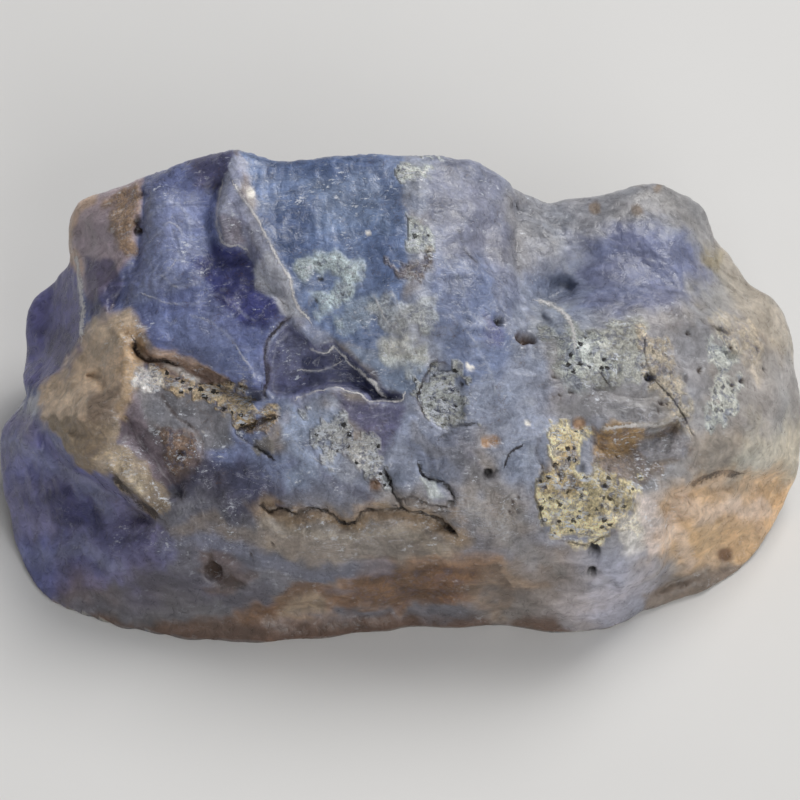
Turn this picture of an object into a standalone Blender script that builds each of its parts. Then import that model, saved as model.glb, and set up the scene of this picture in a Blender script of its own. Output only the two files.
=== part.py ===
"""Raw blue agate: one fractured lump of chalcedony, 40 mm long, resting on its flat underside.

The side that faces the viewer is surveyed like a hillside. A drawing plane leans back across the
stone: on it a runs to the right, b up the slope, and a height h stands square off the plane towards
the viewer. Survey heights give the rolling ground, ledges and creases are cut into it, the outline
closes it, and the hidden sides draw in behind the outline down to the flat underside.
"""

import math

import bpy
import numpy as np

MM = 0.001
NAME = "agate"

# The drawing plane, in millimetres and degrees.
SLOPE_DEG = 55.0
VIEW_DISTANCE = 300.0
PLANE_ORIGIN = (0.0, 0.0, 7.9)
GRID_STEP = 0.1
GRID_HALF = (22.0, 14.5)

# The flat disc inside the stone that the surface is measured from: its height in the drawing, and
# its half width along a and b.
DISC_H = -3.5
DISC_HALF = (12.0, 7.0)
REACH = 16.0

# The outline of the stone in the drawing, clockwise from the notch behind the lower left lobe.
OUTLINE = (
    (-18.55, 0.45), (-19.15, 1.5), (-19.45, 2.75), (-19.4, 4.1), (-19.0, 5.2), (-18.3, 5.85),
    (-17.5, 6.3), (-16.85, 6.6), (-16.3, 7.0), (-16.4, 7.6), (-16.45, 8.4), (-16.3, 9.25),
    (-15.8, 10.0), (-15.0, 10.35), (-14.0, 10.7), (-12.9, 11.05), (-12.25, 11.35), (-11.6, 11.55),
    (-10.75, 11.75), (-10.0, 12.05), (-9.35, 12.3), (-8.9, 12.6), (-8.4, 12.7), (-7.9, 12.55),
    (-7.1, 12.15), (-6.5, 11.8), (-5.0, 11.75), (-3.5, 11.95), (-2.0, 12.15), (-1.1, 12.25),
    (0.0, 12.1), (2.0, 12.05), (2.75, 11.9), (3.6, 11.9), (4.5, 11.5), (5.25, 11.05),
    (5.7, 10.4), (6.5, 10.0), (7.0, 9.7), (7.75, 9.65), (8.5, 9.9), (10.0, 9.95),
    (10.9, 10.2), (11.75, 10.6), (12.6, 10.85), (13.4, 10.75), (14.0, 10.4), (15.0, 10.0),
    (15.4, 9.6), (15.55, 8.9), (15.75, 8.25), (16.4, 7.3), (17.0, 6.25), (17.4, 5.6),
    (18.25, 5.1), (19.1, 4.4), (19.65, 3.6), (19.9, 2.75), (20.05, 1.25), (20.15, -0.5),
    (20.2, -2.5), (20.05, -4.25), (19.4, -5.5), (18.5, -6.5), (17.85, -7.25), (17.4, -8.1),
    (16.9, -8.75), (15.75, -9.2), (14.5, -9.7), (13.0, -10.3), (12.15, -10.35), (11.6, -10.7),
    (10.75, -11.25), (9.9, -11.6), (8.75, -11.55), (7.0, -11.4), (5.0, -11.25), (2.5, -11.2),
    (0.0, -11.35), (-2.5, -11.65), (-5.0, -12.0), (-7.25, -12.15), (-9.5, -12.0),
    (-12.0, -11.75), (-14.25, -11.3), (-16.5, -10.5), (-17.9, -9.65), (-18.65, -8.5),
    (-19.05, -7.25), (-19.5, -6.0), (-19.95, -4.85), (-20.25, -3.5), (-20.3, -2.25),
    (-20.0, -1.4), (-19.25, -0.6), (-18.75, 0.0),
)

# Survey heights, as (a, b, h), region by region.
SURVEY = {
    "top ridge": (
        (-15.8, 10.0, -3.2), (-14.0, 10.7, -2.4), (-12.25, 11.35, -1.4), (-10.0, 12.05, -0.5),
        (-8.4, 12.7, 0.0), (-6.5, 11.8, 0.4), (-3.5, 11.95, 0.6), (-1.1, 12.25, 0.8),
        (2.0, 12.05, 0.5), (4.5, 11.5, -0.4), (5.7, 10.4, -0.8), (7.0, 9.7, -1.8),
        (10.0, 9.95, -2.2), (12.6, 10.85, -2.8), (15.0, 10.0, -3.8),
    ),
    "right rim": (
        (15.75, 8.25, -3.9), (17.0, 6.25, -4.0), (19.1, 4.4, -4.4), (20.05, 1.25, -4.6),
        (20.2, -2.5, -4.8), (19.4, -5.5, -4.8), (17.4, -8.1, -3.6), (15.75, -9.2, -2.6),
    ),
    "foot": (
        (13.0, -10.3, -1.8), (9.9, -11.6, -1.2), (5.0, -11.25, -1.3), (0.0, -11.35, -1.3),
        (-5.0, -12.0, -0.9), (-9.5, -12.0, -0.9), (-14.25, -11.3, -1.4), (-17.9, -9.65, -2.4),
        (-19.05, -7.25, -3.6), (-19.95, -4.85, -4.4), (-20.1, -3.0, -4.6), (-19.25, -0.6, -3.8),
    ),
    "left shoulder and rear lobe": (
        (-18.6, 3.0, -3.2), (-17.2, 5.6, -3.0), (-16.2, 8.4, -3.0), (-15.0, 9.0, -1.7),
        (-15.2, 6.6, -1.2), (-14.2, 8.4, -0.5),
    ),
    "left facet": (
        (-12.5, 10.2, 0.2), (-9.5, 10.5, 1.0), (-13.2, 7.5, 0.9), (-10.3, 7.5, 2.0),
        (-7.5, 9.0, 2.0), (-13.6, 5.2, 1.3), (-10.0, 4.5, 2.8), (-6.5, 6.0, 3.2),
        (-12.3, 2.6, 2.4), (-9.0, 1.8, 3.2), (-6.8, 0.4, 3.8),
    ),
    "middle top": (
        (-5.2, 3.8, 3.9), (-3.2, 2.8, 4.3), (0.0, 0.3, 4.6), (-5.0, 9.8, 1.9), (-3.5, 7.5, 3.1),
        (-1.0, 9.8, 2.2), (-0.5, 7.3, 3.5), (0.2, 4.0, 4.5), (2.0, 9.5, 2.2), (3.0, 6.5, 3.9),
        (5.3, 9.0, 1.0), (5.5, 6.5, 2.6), (4.6, 3.5, 4.3),
    ),
    "right block": (
        (7.3, 8.6, -0.6), (8.0, 5.6, 0.4), (10.0, 8.4, -0.6), (10.0, 6.0, 1.0), (12.6, 8.9, -1.2),
        (12.6, 6.0, 0.8), (14.6, 7.5, -1.8), (15.0, 5.0, -0.2), (16.6, 4.2, -1.4),
        (18.4, 3.2, -2.4),
    ),
    "right middle": (
        (8.5, 3.6, 2.8), (12.0, 3.6, 2.2), (15.0, 3.2, 0.6), (17.2, 1.8, -0.3), (10.0, 1.2, 4.0),
        (13.5, 1.0, 2.8), (16.5, -0.4, 1.0), (19.0, 0.0, -1.8), (8.5, -1.2, 4.5),
        (12.0, -1.0, 3.9), (14.2, -0.9, 3.0), (10.5, -3.0, 4.0), (12.5, -4.0, 3.6),
        (14.5, -3.2, 2.4), (17.0, -2.8, 0.6), (19.3, -2.6, -2.2),
    ),
    "nose and lower right": (
        (15.0, -6.0, 0.8), (17.0, -5.0, -0.6), (14.0, -8.0, -0.2), (16.3, -7.2, -1.8),
        (18.6, -4.8, -3.0), (12.4, -6.5, 2.2), (12.0, -8.5, 1.2), (10.3, -7.0, 3.2),
        (9.8, -9.5, 1.4), (8.0, -8.6, 2.2), (11.0, -10.4, -0.2),
    ),
    "belly": (
        (2.0, -2.0, 5.0), (5.5, -2.4, 5.0), (7.5, -4.0, 4.8), (4.0, -5.5, 4.5), (0.5, -4.6, 4.8),
        (7.5, -6.5, 3.8), (2.4, -7.5, 3.4), (5.4, -8.5, 2.5), (-2.5, -7.8, 3.0), (-2.5, -1.0, 4.8),
        (-5.0, -1.5, 4.4), (-3.0, -4.0, 4.7), (-6.0, -4.3, 4.0), (-5.0, -6.0, 3.9),
        (-8.0, -6.3, 3.0), (-8.5, -1.2, 3.4), (-8.0, -4.0, 3.4), (-10.6, -4.0, 2.6),
        (-10.0, -1.0, 2.9), (-10.5, -6.5, 2.4),
    ),
    "tan ridge": (
        (-16.0, 2.6, -0.4), (-14.5, 3.2, 1.2), (-13.4, 1.6, 2.2), (-14.6, 0.0, 2.0),
        (-16.2, -0.9, 1.2), (-15.0, -2.4, 2.2), (-13.0, -3.9, 2.7), (-11.4, -5.4, 2.6),
    ),
    "lower left lobe": (
        (-18.8, -1.8, -2.2), (-17.4, -2.8, -0.6), (-17.8, -5.0, -1.4), (-15.4, -5.0, 0.4),
        (-13.4, -6.4, 1.2), (-16.5, -8.0, -1.2), (-13.5, -8.6, 0.6), (-10.0, -9.0, 1.2),
        (-6.0, -9.5, 1.4), (-2.0, -10.0, 0.9), (2.5, -9.8, 1.0), (6.0, -10.2, 0.5),
        (-12.0, -10.6, -0.4), (-8.0, -11.0, -0.2), (-16.0, -9.9, -1.6),
    ),
}
SURVEY_ROUNDING = 0.7

# Ledges: a line, the drop on the right-hand side of it as drawn, the width of the wall and how far
# the low ground reaches before it is level with the survey again.
LEDGES = {
    "lilac ledge": (
        ((-5.2, 4.6), (-5.6, 5.6), (-6.2, 6.6), (-6.9, 7.6), (-7.7, 8.2), (-8.6, 7.9), (-8.9, 9.0),
         (-8.6, 10.0), (-8.2, 11.6)),
        -1.2, 0.9, 3.0,
    ),
    "middle block's edge": (
        ((5.7, 10.6), (5.75, 9.0), (5.75, 7.2), (5.8, 5.6), (5.4, 4.7)),
        1.4, 0.9, 2.4,
    ),
    "alcove's lip": (
        ((14.6, -0.5), (13.6, -0.8), (12.2, -1.2), (10.6, -1.5), (9.2, -1.2)),
        -1.2, 0.7, 1.8,
    ),
    "tan band's foot": (
        ((-11.6, -6.0), (-12.8, -5.2), (-14.0, -4.3), (-15.2, -3.6), (-16.4, -3.0), (-17.3, -1.9),
         (-17.8, -0.9)),
        -1.2, 0.6, 2.6,
    ),
    "orange face's brow": (
        ((12.7, -4.6), (13.6, -4.2), (15.0, -3.8), (16.6, -3.4), (18.4, -3.4), (20.0, -3.0)),
        1.0, 0.7, 2.6,
    ),
    "nose's right side": (
        ((12.5, -4.6), (13.0, -6.4), (12.9, -8.4), (12.0, -9.9)),
        -1.0, 0.7, 2.6,
    ),
    "crust's underside": (
        ((2.9, -6.6), (2.1, -5.9), (0.4, -5.4), (-1.5, -5.4), (-2.4, -6.1), (-3.5, -5.6),
         (-5.2, -5.5), (-6.9, -5.2)),
        -0.5, 0.3, 2.2,
    ),
    "belly fold": (
        ((2.6, -8.8), (0.4, -9.6), (-2.0, -10.4), (-4.6, -9.9), (-7.4, -10.8)),
        -0.45, 0.4, 1.6,
    ),
}

# Creases: a line, the height of the ridge along it (below zero for a valley), and how quickly the
# ground falls away from it on each side.
CREASES = {
    "facet's lip": (
        ((-13.2, 3.5), (-11.9, 2.9), (-10.2, 2.4), (-8.4, 1.3), (-6.8, 0.7)), 0.45, 1.2,
    ),
    "crevice": (
        ((-13.6, 2.9), (-12.6, 2.1), (-11.4, 1.9), (-10.1, 1.4), (-8.2, 0.4), (-6.9, -0.1)),
        -1.0, 0.35,
    ),
    "teal face's crest": (
        ((-8.0, 10.6), (-7.4, 9.5), (-6.7, 8.5), (-6.2, 7.2), (-5.6, 6.1), (-4.7, 4.2)), 0.35, 0.9,
    ),
    "middle ridge": (
        ((1.0, 11.6), (0.9, 8.0), (0.8, 5.0), (0.0, 2.4)), 0.4, 1.2,
    ),
    "shoulder crease": (
        ((-12.8, 10.8), (-12.9, 9.0), (-13.2, 7.2), (-13.8, 5.8), (-14.6, 4.3)), -0.8, 0.6,
    ),
    "bridge crest": (
        ((-14.2, 3.6), (-13.7, 2.2), (-13.9, 0.6), (-15.0, -0.6), (-16.6, -1.0)), 0.6, 0.9,
    ),
    "bridge dimple": (
        ((-15.8, 1.2), (-15.0, 1.1), (-14.8, 0.2)), -0.7, 0.8,
    ),
    "tan band": (
        ((-16.8, -1.5), (-15.9, -2.7), (-14.6, -3.4), (-13.4, -4.3), (-12.2, -5.4)), 0.7, 0.8,
    ),
    "purple valley": (
        ((-13.9, -0.6), (-13.1, -2.0), (-12.0, -3.4), (-10.8, -5.2)), -1.0, 0.7,
    ),
    "notch": (
        ((-6.2, -1.0), (-8.0, -1.5), (-7.2, -2.2), (-6.4, -2.8)), -0.4, 0.35,
    ),
    "fold": (
        ((5.8, 10.2), (5.85, 8.0), (5.8, 6.0), (6.6, 5.0), (8.0, 5.4), (9.0, 5.9)), -0.9, 0.8,
    ),
    "crust ridge": (
        ((7.0, 4.4), (8.6, 4.0), (10.6, 3.4), (13.4, 3.8), (15.8, 3.6), (17.0, 2.2)), 0.7, 1.1,
    ),
    "valley under the crust": (
        ((9.4, 0.6), (11.6, 0.2), (13.4, 0.4), (14.4, 1.4)), -0.5, 0.9,
    ),
    "nose": (
        ((9.2, -2.8), (10.2, -5.4), (11.4, -7.4), (11.0, -9.8)), 0.7, 1.5,
    ),
    "main crack": (
        ((-7.1, -5.4), (-5.8, -5.3), (-4.9, -5.5), (-3.9, -5.4), (-3.3, -5.8), (-2.6, -6.2),
         (-2.0, -5.8), (-1.2, -5.4), (0.4, -5.5), (1.8, -5.8), (2.8, -6.7)),
        -0.7, 0.22,
    ),
    "upper crack": (
        ((-0.8, -3.4), (-0.4, -4.4), (0.1, -5.2)), -0.5, 0.22,
    ),
    "side crack": (
        ((0.9, -3.3), (1.7, -4.0), (2.5, -4.4), (2.6, -5.0)), -0.5, 0.22,
    ),
}

# Regions of the viewer's side: a closed line, how far the ground inside is let down, and the width
# of the wall round it.
REAR_LOBE = (
    ((-21.0, 0.7), (-18.3, 0.55), (-17.0, 1.2), (-16.2, 2.4), (-15.85, 4.0), (-15.9, 5.6),
     (-16.1, 7.1), (-17.0, 8.2), (-21.0, 8.2)),
    2.4, 1.6,
)
SUNK = {
    "navy chip": (
        ((-6.6, 2.6), (-5.6, 3.9), (-5.0, 3.5), (-4.1, 2.8), (-3.2, 3.0), (-2.6, 2.4),
         (-1.7, 1.4), (-0.8, 0.5), (0.1, 0.1), (0.0, -0.15), (-1.5, -0.2), (-1.9, 0.3),
         (-3.2, 0.5), (-4.6, 0.25), (-6.0, 0.0), (-6.7, 0.4)),
        0.7, 0.4,
    ),
    "dotted plate": (
        ((1.6, 1.9), (3.1, 1.6), (3.3, 0.0), (3.35, -0.9), (2.25, -1.6), (1.25, -0.75), (0.9, 0.0)),
        0.35, 0.3,
    ),
    "right hollow": (
        ((7.0, 5.4), (8.2, 7.6), (10.4, 8.6), (12.6, 8.2), (14.4, 6.6), (14.4, 5.0), (12.0, 4.4),
         (9.6, 4.4), (8.6, 4.8)),
        0.7, 1.6,
    ),
    "crust patch": (
        ((7.0, -2.0), (7.6, -1.2), (9.2, -1.4), (9.2, -3.2), (12.0, -4.4), (11.8, -6.2),
         (9.6, -7.0), (7.8, -6.8), (6.9, -5.0), (7.0, -3.4)),
        -0.2, 0.7,
    ),
}

# How the hidden sides draw in below this height: a draft, and a curve that grows with depth.
DRAFT_START = -4.2
DRAFT = 0.25
DRAFT_CURVE = 0.04
# The blend below rounds the rim inwards, so the outline is let out by this much to make up for it.
RIM_GAIN = 0.3
EDGE_BLEND = 0.28
RIM_FADE = 0.8

# Fracture planes on the hidden sides, as a point and an outward direction, in the stone's own
# x, y, z.
FRACTURES = (
    ((0.0, 11.5, 8.0), (-0.01, 1.0, 0.08)),
    ((-17.2, 9.8, 10.5), (-0.55, 0.75, 0.35)),
    ((15.8, 11.0, 9.5), (0.6, 0.8, 0.2)),
    ((-19.8, 3.0, 2.0), (-0.85, 0.25, -0.45)),
    ((20.5, 1.0, 1.6), (0.75, 0.1, -0.6)),
    ((8.0, 9.4, 2.0), (0.1, 0.85, -0.5)),
    ((-8.0, 9.2, 2.0), (-0.15, 0.8, -0.55)),
)
# Shell-shaped scars on the hidden sides, as a centre and a radius.
SCARS = (
    ((4.0, 20.8, 9.0), 11.2),
    ((-7.5, 19.5, 5.5), 10.4),
    ((26.4, 9.6, 0.2), 8.8),
    ((-20.5, 16.5, 5.0), 8.0),
)

# The stone is made this much too deep below the table, and then cut off flat at z = 0.
SPARE_DEPTH = 1.5
CUTTER_SIZE = (60.0, 60.0, 12.0)

# This shift puts the middle of the stone's box over the origin.
SETTLE = (-0.03, -1.07, 0.0)

# Unevenness: the size of the lumps and how far they push the surface, and shell-like chips whose
# rims meet in ridges.
WARP_SIZE, WARP_PUSH = 3.4, 0.5
CHIP_SIZE, CHIP_DEPTH = 3.6, 0.42
SMALL_CHIP_SIZE, SMALL_CHIP_DEPTH = 1.7, 0.16

SPHERE_SUBDIVISIONS = 7
TARGET_TRIANGLES = 11400

COLOUR = (0.36, 0.38, 0.52, 1.0)
ROUGHNESS = 0.45


def table_noise(points, size, seed):
    """Smooth noise from -1 to 1: random values at the corners of a grid of cubes this size,
    blended inside each cube with the smoothstep curve."""
    table = np.random.default_rng(seed).uniform(-1.0, 1.0, (32, 32, 32))
    scaled = points / size + 100.0
    cell = np.floor(scaled).astype(int)
    part = scaled - cell
    part = part * part * (3.0 - 2.0 * part)
    total = np.zeros(len(points))
    for corner in np.ndindex(2, 2, 2):
        index = (cell + corner) % 32
        weight = np.prod(np.where(corner, part, 1.0 - part), axis=1)
        total += weight * table[index[:, 0], index[:, 1], index[:, 2]]
    return total


def chips(points, size, seed):
    """Shallow bowls that meet in ridges: the squared distance to the nearest of one random place
    in each cube of a grid, from about 0 at a bowl's middle to 1 on a high rim."""
    table = np.random.default_rng(seed).uniform(0.15, 0.85, (16, 16, 16, 3))
    scaled = points / size + 100.0
    cell = np.floor(scaled).astype(int)
    nearest = np.full(len(points), 9.0)
    for step in np.ndindex(3, 3, 3):
        index = cell + step - 1
        wrapped = index % 16
        place = index + table[wrapped[:, 0], wrapped[:, 1], wrapped[:, 2]]
        nearest = np.minimum(nearest, ((scaled - place) ** 2).sum(axis=1))
    return nearest


def smooth_largest(values, blend):
    """The largest of several fields, with the edge between them rounded over about this width."""
    stacked = np.stack(values)
    top = stacked.max(axis=0)
    return top + blend * np.log(np.exp((stacked - top) / blend).sum(axis=0))


def curve_through(points, closed, per_span=4):
    """A Catmull-Rom curve through the points, as a denser list of points."""
    points = np.array(points, float)
    if closed:
        padded = np.concatenate([points[-1:], points, points[:2]])
    else:
        padded = np.concatenate([2 * points[:1] - points[1:2], points, 2 * points[-1:] - points[-2:-1]])
    steps = np.arange(per_span) / per_span
    spans = []
    for before, start, end, after in zip(padded, padded[1:], padded[2:], padded[3:]):
        t = steps[:, None]
        spans.append(
            0.5 * (2 * start + (end - before) * t + (2 * before - 5 * start + 4 * end - after) * t**2
                   + (3 * start - before - 3 * end + after) * t**3)
        )
    dense = np.concatenate(spans)
    return dense if closed else np.concatenate([dense, points[-1:]])


def line_distance(a, b, line):
    """Distance from each place to the line, and which side it is on: positive on the right-hand
    side as drawn."""
    nearest = np.full(a.shape, np.inf)
    side = np.zeros(a.shape)
    for (a0, b0), (a1, b1) in zip(line, line[1:]):
        da, db = a1 - a0, b1 - b0
        t = np.clip(((a - a0) * da + (b - b0) * db) / (da * da + db * db), 0.0, 1.0)
        distance = np.hypot(a - a0 - t * da, b - b0 - t * db)
        closer = distance < nearest
        nearest = np.where(closer, distance, nearest)
        side = np.where(closer, np.sign((a - a0) * db - (b - b0) * da), side)
    return nearest, side


def region_distance(a, b, line):
    """Signed distance to a closed line: negative inside."""
    ring = np.concatenate([line, line[:1]])
    nearest = line_distance(a, b, ring)[0]
    inside = np.zeros(a.shape, bool)
    for (a0, b0), (a1, b1) in zip(ring, ring[1:]):
        if b0 == b1:
            continue
        crosses = (b0 > b) != (b1 > b)
        inside ^= crosses & (a < (a1 - a0) * (b - b0) / (b1 - b0) + a0)
    return np.where(inside, -nearest, nearest)


def smoothstep(value):
    """0 below 0, 1 above 1, and the smoothstep curve between."""
    value = np.clip(value, 0.0, 1.0)
    return value * value * (3.0 - 2.0 * value)


def survey_ground(a, b):
    """The rolling ground through the survey heights: a sum of rounded cones, one on each surveyed
    place, and a tilted plane."""
    places = np.array([row for rows in SURVEY.values() for row in rows])
    count = len(places)
    square = np.zeros((count + 3, count + 3))
    gaps = np.hypot(places[:, 0, None] - places[None, :, 0], places[:, 1, None] - places[None, :, 1])
    square[:count, :count] = np.hypot(gaps, SURVEY_ROUNDING)
    square[:count, count:] = np.column_stack([np.ones(count), places[:, :2]])
    square[count:, :count] = square[:count, count:].T
    weights = np.linalg.solve(square, np.concatenate([places[:, 2], np.zeros(3)]))
    height = weights[count] + weights[count + 1] * a + weights[count + 2] * b
    for (pa, pb, _), weight in zip(places, weights):
        height += weight * np.sqrt((a - pa) ** 2 + (b - pb) ** 2 + SURVEY_ROUNDING**2)
    return height


def end_taper(a, b, line, distance):
    """1 beside most of a line, falling to 0 round its two ends, more slowly farther out."""
    from_ends = [np.hypot(a - place[0], b - place[1]) for place in (line[0], line[-1])]
    return smoothstep((np.minimum(*from_ends) - distance) / (0.4 + 0.5 * distance))


def sink(a, b, region):
    """How far the ground is let down inside a closed line, with a sloping wall."""
    line, depth, wall = region
    inside = -region_distance(a, b, curve_through(line, True))
    return depth * smoothstep(inside / wall)


def front_detail(a, b):
    """What stands off the rolling ground: ledges, creases and sunk regions."""
    height = np.zeros(a.shape)
    for places, drop, wall, reach in LEDGES.values():
        line = curve_through(places, False)
        distance, side = line_distance(a, b, line)
        low = distance * side * np.sign(drop)
        fall = smoothstep(low / wall) * np.exp(-np.maximum(low - wall, 0.0) / reach)
        height -= abs(drop) * fall * end_taper(a, b, line, distance)
    for places, rise, spread in CREASES.values():
        line = curve_through(places, False)
        distance = line_distance(a, b, line)[0]
        height += rise * np.exp(-distance / spread) * end_taper(a, b, line, distance)
    for region in SUNK.values():
        height -= sink(a, b, region)
    return height


class Drawing:
    """The ground, its detail and the outline on a fine grid of the drawing plane."""

    def __init__(self):
        half_a, half_b = GRID_HALF
        self.a = np.arange(-half_a, half_a + GRID_STEP, GRID_STEP)
        self.b = np.arange(-half_b, half_b + GRID_STEP, GRID_STEP)
        a, b = np.meshgrid(self.a, self.b, indexing="ij")
        self.ground = survey_ground(a, b) - sink(a, b, REAR_LOBE)
        self.detail = front_detail(a, b)
        self.edge = region_distance(a, b, curve_through(OUTLINE, True))

    def read(self, field, a, b):
        """The field at any place, blended between its four grid neighbours."""
        i = np.clip((a - self.a[0]) / GRID_STEP, 0, len(self.a) - 1.001)
        j = np.clip((b - self.b[0]) / GRID_STEP, 0, len(self.b) - 1.001)
        i0, j0 = i.astype(int), j.astype(int)
        fi, fj = i - i0, j - j0
        low = field[i0, j0] * (1 - fi) + field[i0 + 1, j0] * fi
        high = field[i0, j0 + 1] * (1 - fi) + field[i0 + 1, j0 + 1] * fi
        return low * (1 - fj) + high * fj


def plane_axes():
    """The drawing plane's three directions: right, up the slope, and towards the viewer."""
    slope = math.radians(SLOPE_DEG)
    return np.array([
        (1.0, 0.0, 0.0),
        (0.0, math.sin(slope), math.cos(slope)),
        (0.0, -math.cos(slope), math.sin(slope)),
    ])


def drawing_place(points):
    """Where points appear in the drawing, a and b, and their height over its plane."""
    across, up, height = ((points - PLANE_ORIGIN) @ plane_axes().T).T
    shrink = 1.0 - height / VIEW_DISTANCE
    return across / shrink, up / shrink, height


def body_field(points, drawing):
    """Below zero inside the stone, above zero outside: the largest of the front ground, the
    outline with its draft, the fracture planes, the shell scars and the spare bottom."""
    shift = np.stack([table_noise(points, WARP_SIZE, seed) for seed in (11, 12, 13)], axis=1)
    warped = points + WARP_PUSH * shift
    a, b, height = drawing_place(points)
    front = height - drawing.read(drawing.ground, a, b)
    deep = np.maximum(DRAFT_START - height, 0.0)
    edge = drawing.read(drawing.edge, a, b) - RIM_GAIN + DRAFT * deep + DRAFT_CURVE * deep**2
    fields = [front, edge]
    for point, normal in FRACTURES:
        unit = np.array(normal) / np.linalg.norm(normal)
        fields.append((warped - point) @ unit)
    for centre, radius in SCARS:
        fields.append(radius - np.linalg.norm(warped - centre, axis=1))
    fields.append(-SPARE_DEPTH - points[:, 2])
    return smooth_largest(fields, EDGE_BLEND)


def stone_surface(directions, drawing):
    """Where each ray from the disc leaves the stone. A ray starts nearer the disc's edge the more
    it leans that way."""
    axes = plane_axes()
    lean_a, lean_b = directions @ axes[0], directions @ axes[1]
    start = PLANE_ORIGIN + DISC_H * axes[2]
    start = start + DISC_HALF[0] * lean_a[:, None] * axes[0] + DISC_HALF[1] * lean_b[:, None] * axes[1]
    samples = np.linspace(0.0, REACH, 41)
    last_inside = np.zeros(len(directions))
    for sample in samples:
        inside = body_field(start + directions * sample, drawing) < 0.0
        last_inside = np.where(inside, sample, last_inside)
    low, high = last_inside, last_inside + samples[1]
    for _ in range(9):
        middle = (low + high) / 2
        inside = body_field(start + directions * middle[:, None], drawing) < 0.0
        low = np.where(inside, middle, low)
        high = np.where(inside, high, middle)
    surface = start + directions * low[:, None]
    worn = CHIP_DEPTH * (0.5 - chips(surface, CHIP_SIZE, 21))
    worn += SMALL_CHIP_DEPTH * (0.5 - chips(surface, SMALL_CHIP_SIZE, 22))
    return surface - directions * worn[:, None]


def carve_front(points, drawing):
    """The ledges, creases and sunk regions, pushed in or out along the line of sight where a
    point lies on the viewer's side and inside the rim."""
    a, b, height = drawing_place(points)
    depth = drawing.read(drawing.ground, a, b) - height
    facing = smoothstep(1.6 - depth) * smoothstep(-drawing.read(drawing.edge, a, b) / RIM_FADE)
    detail = drawing.read(drawing.detail, a, b) * facing
    return points + detail[:, None] * plane_axes()[2]


def new_collection(name):
    """A collection linked to the scene."""
    collection = bpy.data.collections.new(name)
    bpy.context.scene.collection.children.link(collection)
    return collection


def move_to(obj, collection):
    """Take an object out of its collections and put it in this one."""
    for old in list(obj.users_collection):
        old.objects.unlink(obj)
    collection.objects.link(obj)


def stone_material():
    """One waxy blue-grey for the whole stone."""
    material = bpy.data.materials.new("blue_chalcedony")
    material.use_nodes = True
    shader = material.node_tree.nodes["Principled BSDF"]
    shader.inputs["Base Color"].default_value = COLOUR
    shader.inputs["Roughness"].default_value = ROUGHNESS
    shader.inputs["Metallic"].default_value = 0.0
    return material


def build_cutter(collection):
    """The block that takes off everything below the table."""
    bpy.ops.mesh.primitive_cube_add(size=1.0)
    cutter = bpy.context.object
    cutter.name = "table_cutter"
    cutter.scale = [side * MM for side in CUTTER_SIZE]
    cutter.location = (0.0, 0.0, -CUTTER_SIZE[2] / 2 * MM)
    cutter.hide_render = True
    cutter.display_type = "WIRE"
    move_to(cutter, collection)
    return cutter


def build_stone(collection, cutter):
    """A sphere whose points are moved out to the stone's surface, thinned out where the ground is
    even and cut off flat at the table."""
    bpy.ops.mesh.primitive_ico_sphere_add(subdivisions=SPHERE_SUBDIVISIONS, radius=1.0)
    stone = bpy.context.object
    stone.name = NAME
    mesh = stone.data
    flat = np.empty(len(mesh.vertices) * 3, np.float32)
    mesh.vertices.foreach_get("co", flat)
    directions = flat.reshape(-1, 3).astype(float)
    directions /= np.linalg.norm(directions, axis=1)[:, None]
    drawing = Drawing()
    points = carve_front(stone_surface(directions, drawing), drawing) + SETTLE
    mesh.vertices.foreach_set("co", (points * MM).astype(np.float32).ravel())
    mesh.update()
    mesh.materials.append(stone_material())
    thin = stone.modifiers.new("fewer faces", "DECIMATE")
    thin.ratio = TARGET_TRIANGLES / len(mesh.polygons)
    thin.use_collapse_triangulate = True
    cut = stone.modifiers.new("flat underside", "BOOLEAN")
    cut.operation = "DIFFERENCE"
    cut.solver = "EXACT"
    cut.object = cutter
    move_to(stone, collection)
    return stone


def main():
    for obj in list(bpy.data.objects):
        bpy.data.objects.remove(obj)
    cutter = build_cutter(new_collection("cutters"))
    build_stone(new_collection(NAME), cutter)


main()
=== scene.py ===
"""Raw blue agate, dressed: the broken, waxy, stained surface of one lump of chalcedony.

The stone is one closed surface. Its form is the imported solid's own: a drawing plane leans back
across the stone, with a to the right, b up the slope and a height h square off it towards the
viewer, all in millimetres. Survey heights, ledges, creases and sunk regions make the viewer's side,
and the other sides draw in behind the outline. Here the same form is worked out on a finer grid,
with cracks, pits, crust and chipping added, and it is painted region by region.
"""

import math

import bpy
import numpy as np
from mathutils import Matrix


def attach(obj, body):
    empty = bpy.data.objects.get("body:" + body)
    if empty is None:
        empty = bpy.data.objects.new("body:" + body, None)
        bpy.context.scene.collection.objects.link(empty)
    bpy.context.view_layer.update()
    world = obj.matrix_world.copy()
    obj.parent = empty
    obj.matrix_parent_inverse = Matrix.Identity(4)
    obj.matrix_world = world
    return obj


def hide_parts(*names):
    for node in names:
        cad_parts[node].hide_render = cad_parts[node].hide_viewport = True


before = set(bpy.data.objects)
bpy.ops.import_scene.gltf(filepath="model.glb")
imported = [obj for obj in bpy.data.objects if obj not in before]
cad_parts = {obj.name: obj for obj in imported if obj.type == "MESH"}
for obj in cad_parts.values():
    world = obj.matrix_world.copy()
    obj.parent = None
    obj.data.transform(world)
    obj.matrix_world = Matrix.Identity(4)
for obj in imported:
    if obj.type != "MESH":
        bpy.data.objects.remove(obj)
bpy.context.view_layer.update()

MM = 0.001

# The drawing plane, in millimetres and degrees.
SLOPE_DEG = 55.0
VIEW_DISTANCE = 300.0
PLANE_ORIGIN = (0.0, 0.0, 7.9)

# The flat disc inside the stone that the surface is measured from: its height in the drawing, its
# half width along a and b, and how far a ray from it is searched.
DISC_H = -3.5
DISC_HALF = (12.0, 7.0)
REACH = 16.0

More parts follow.
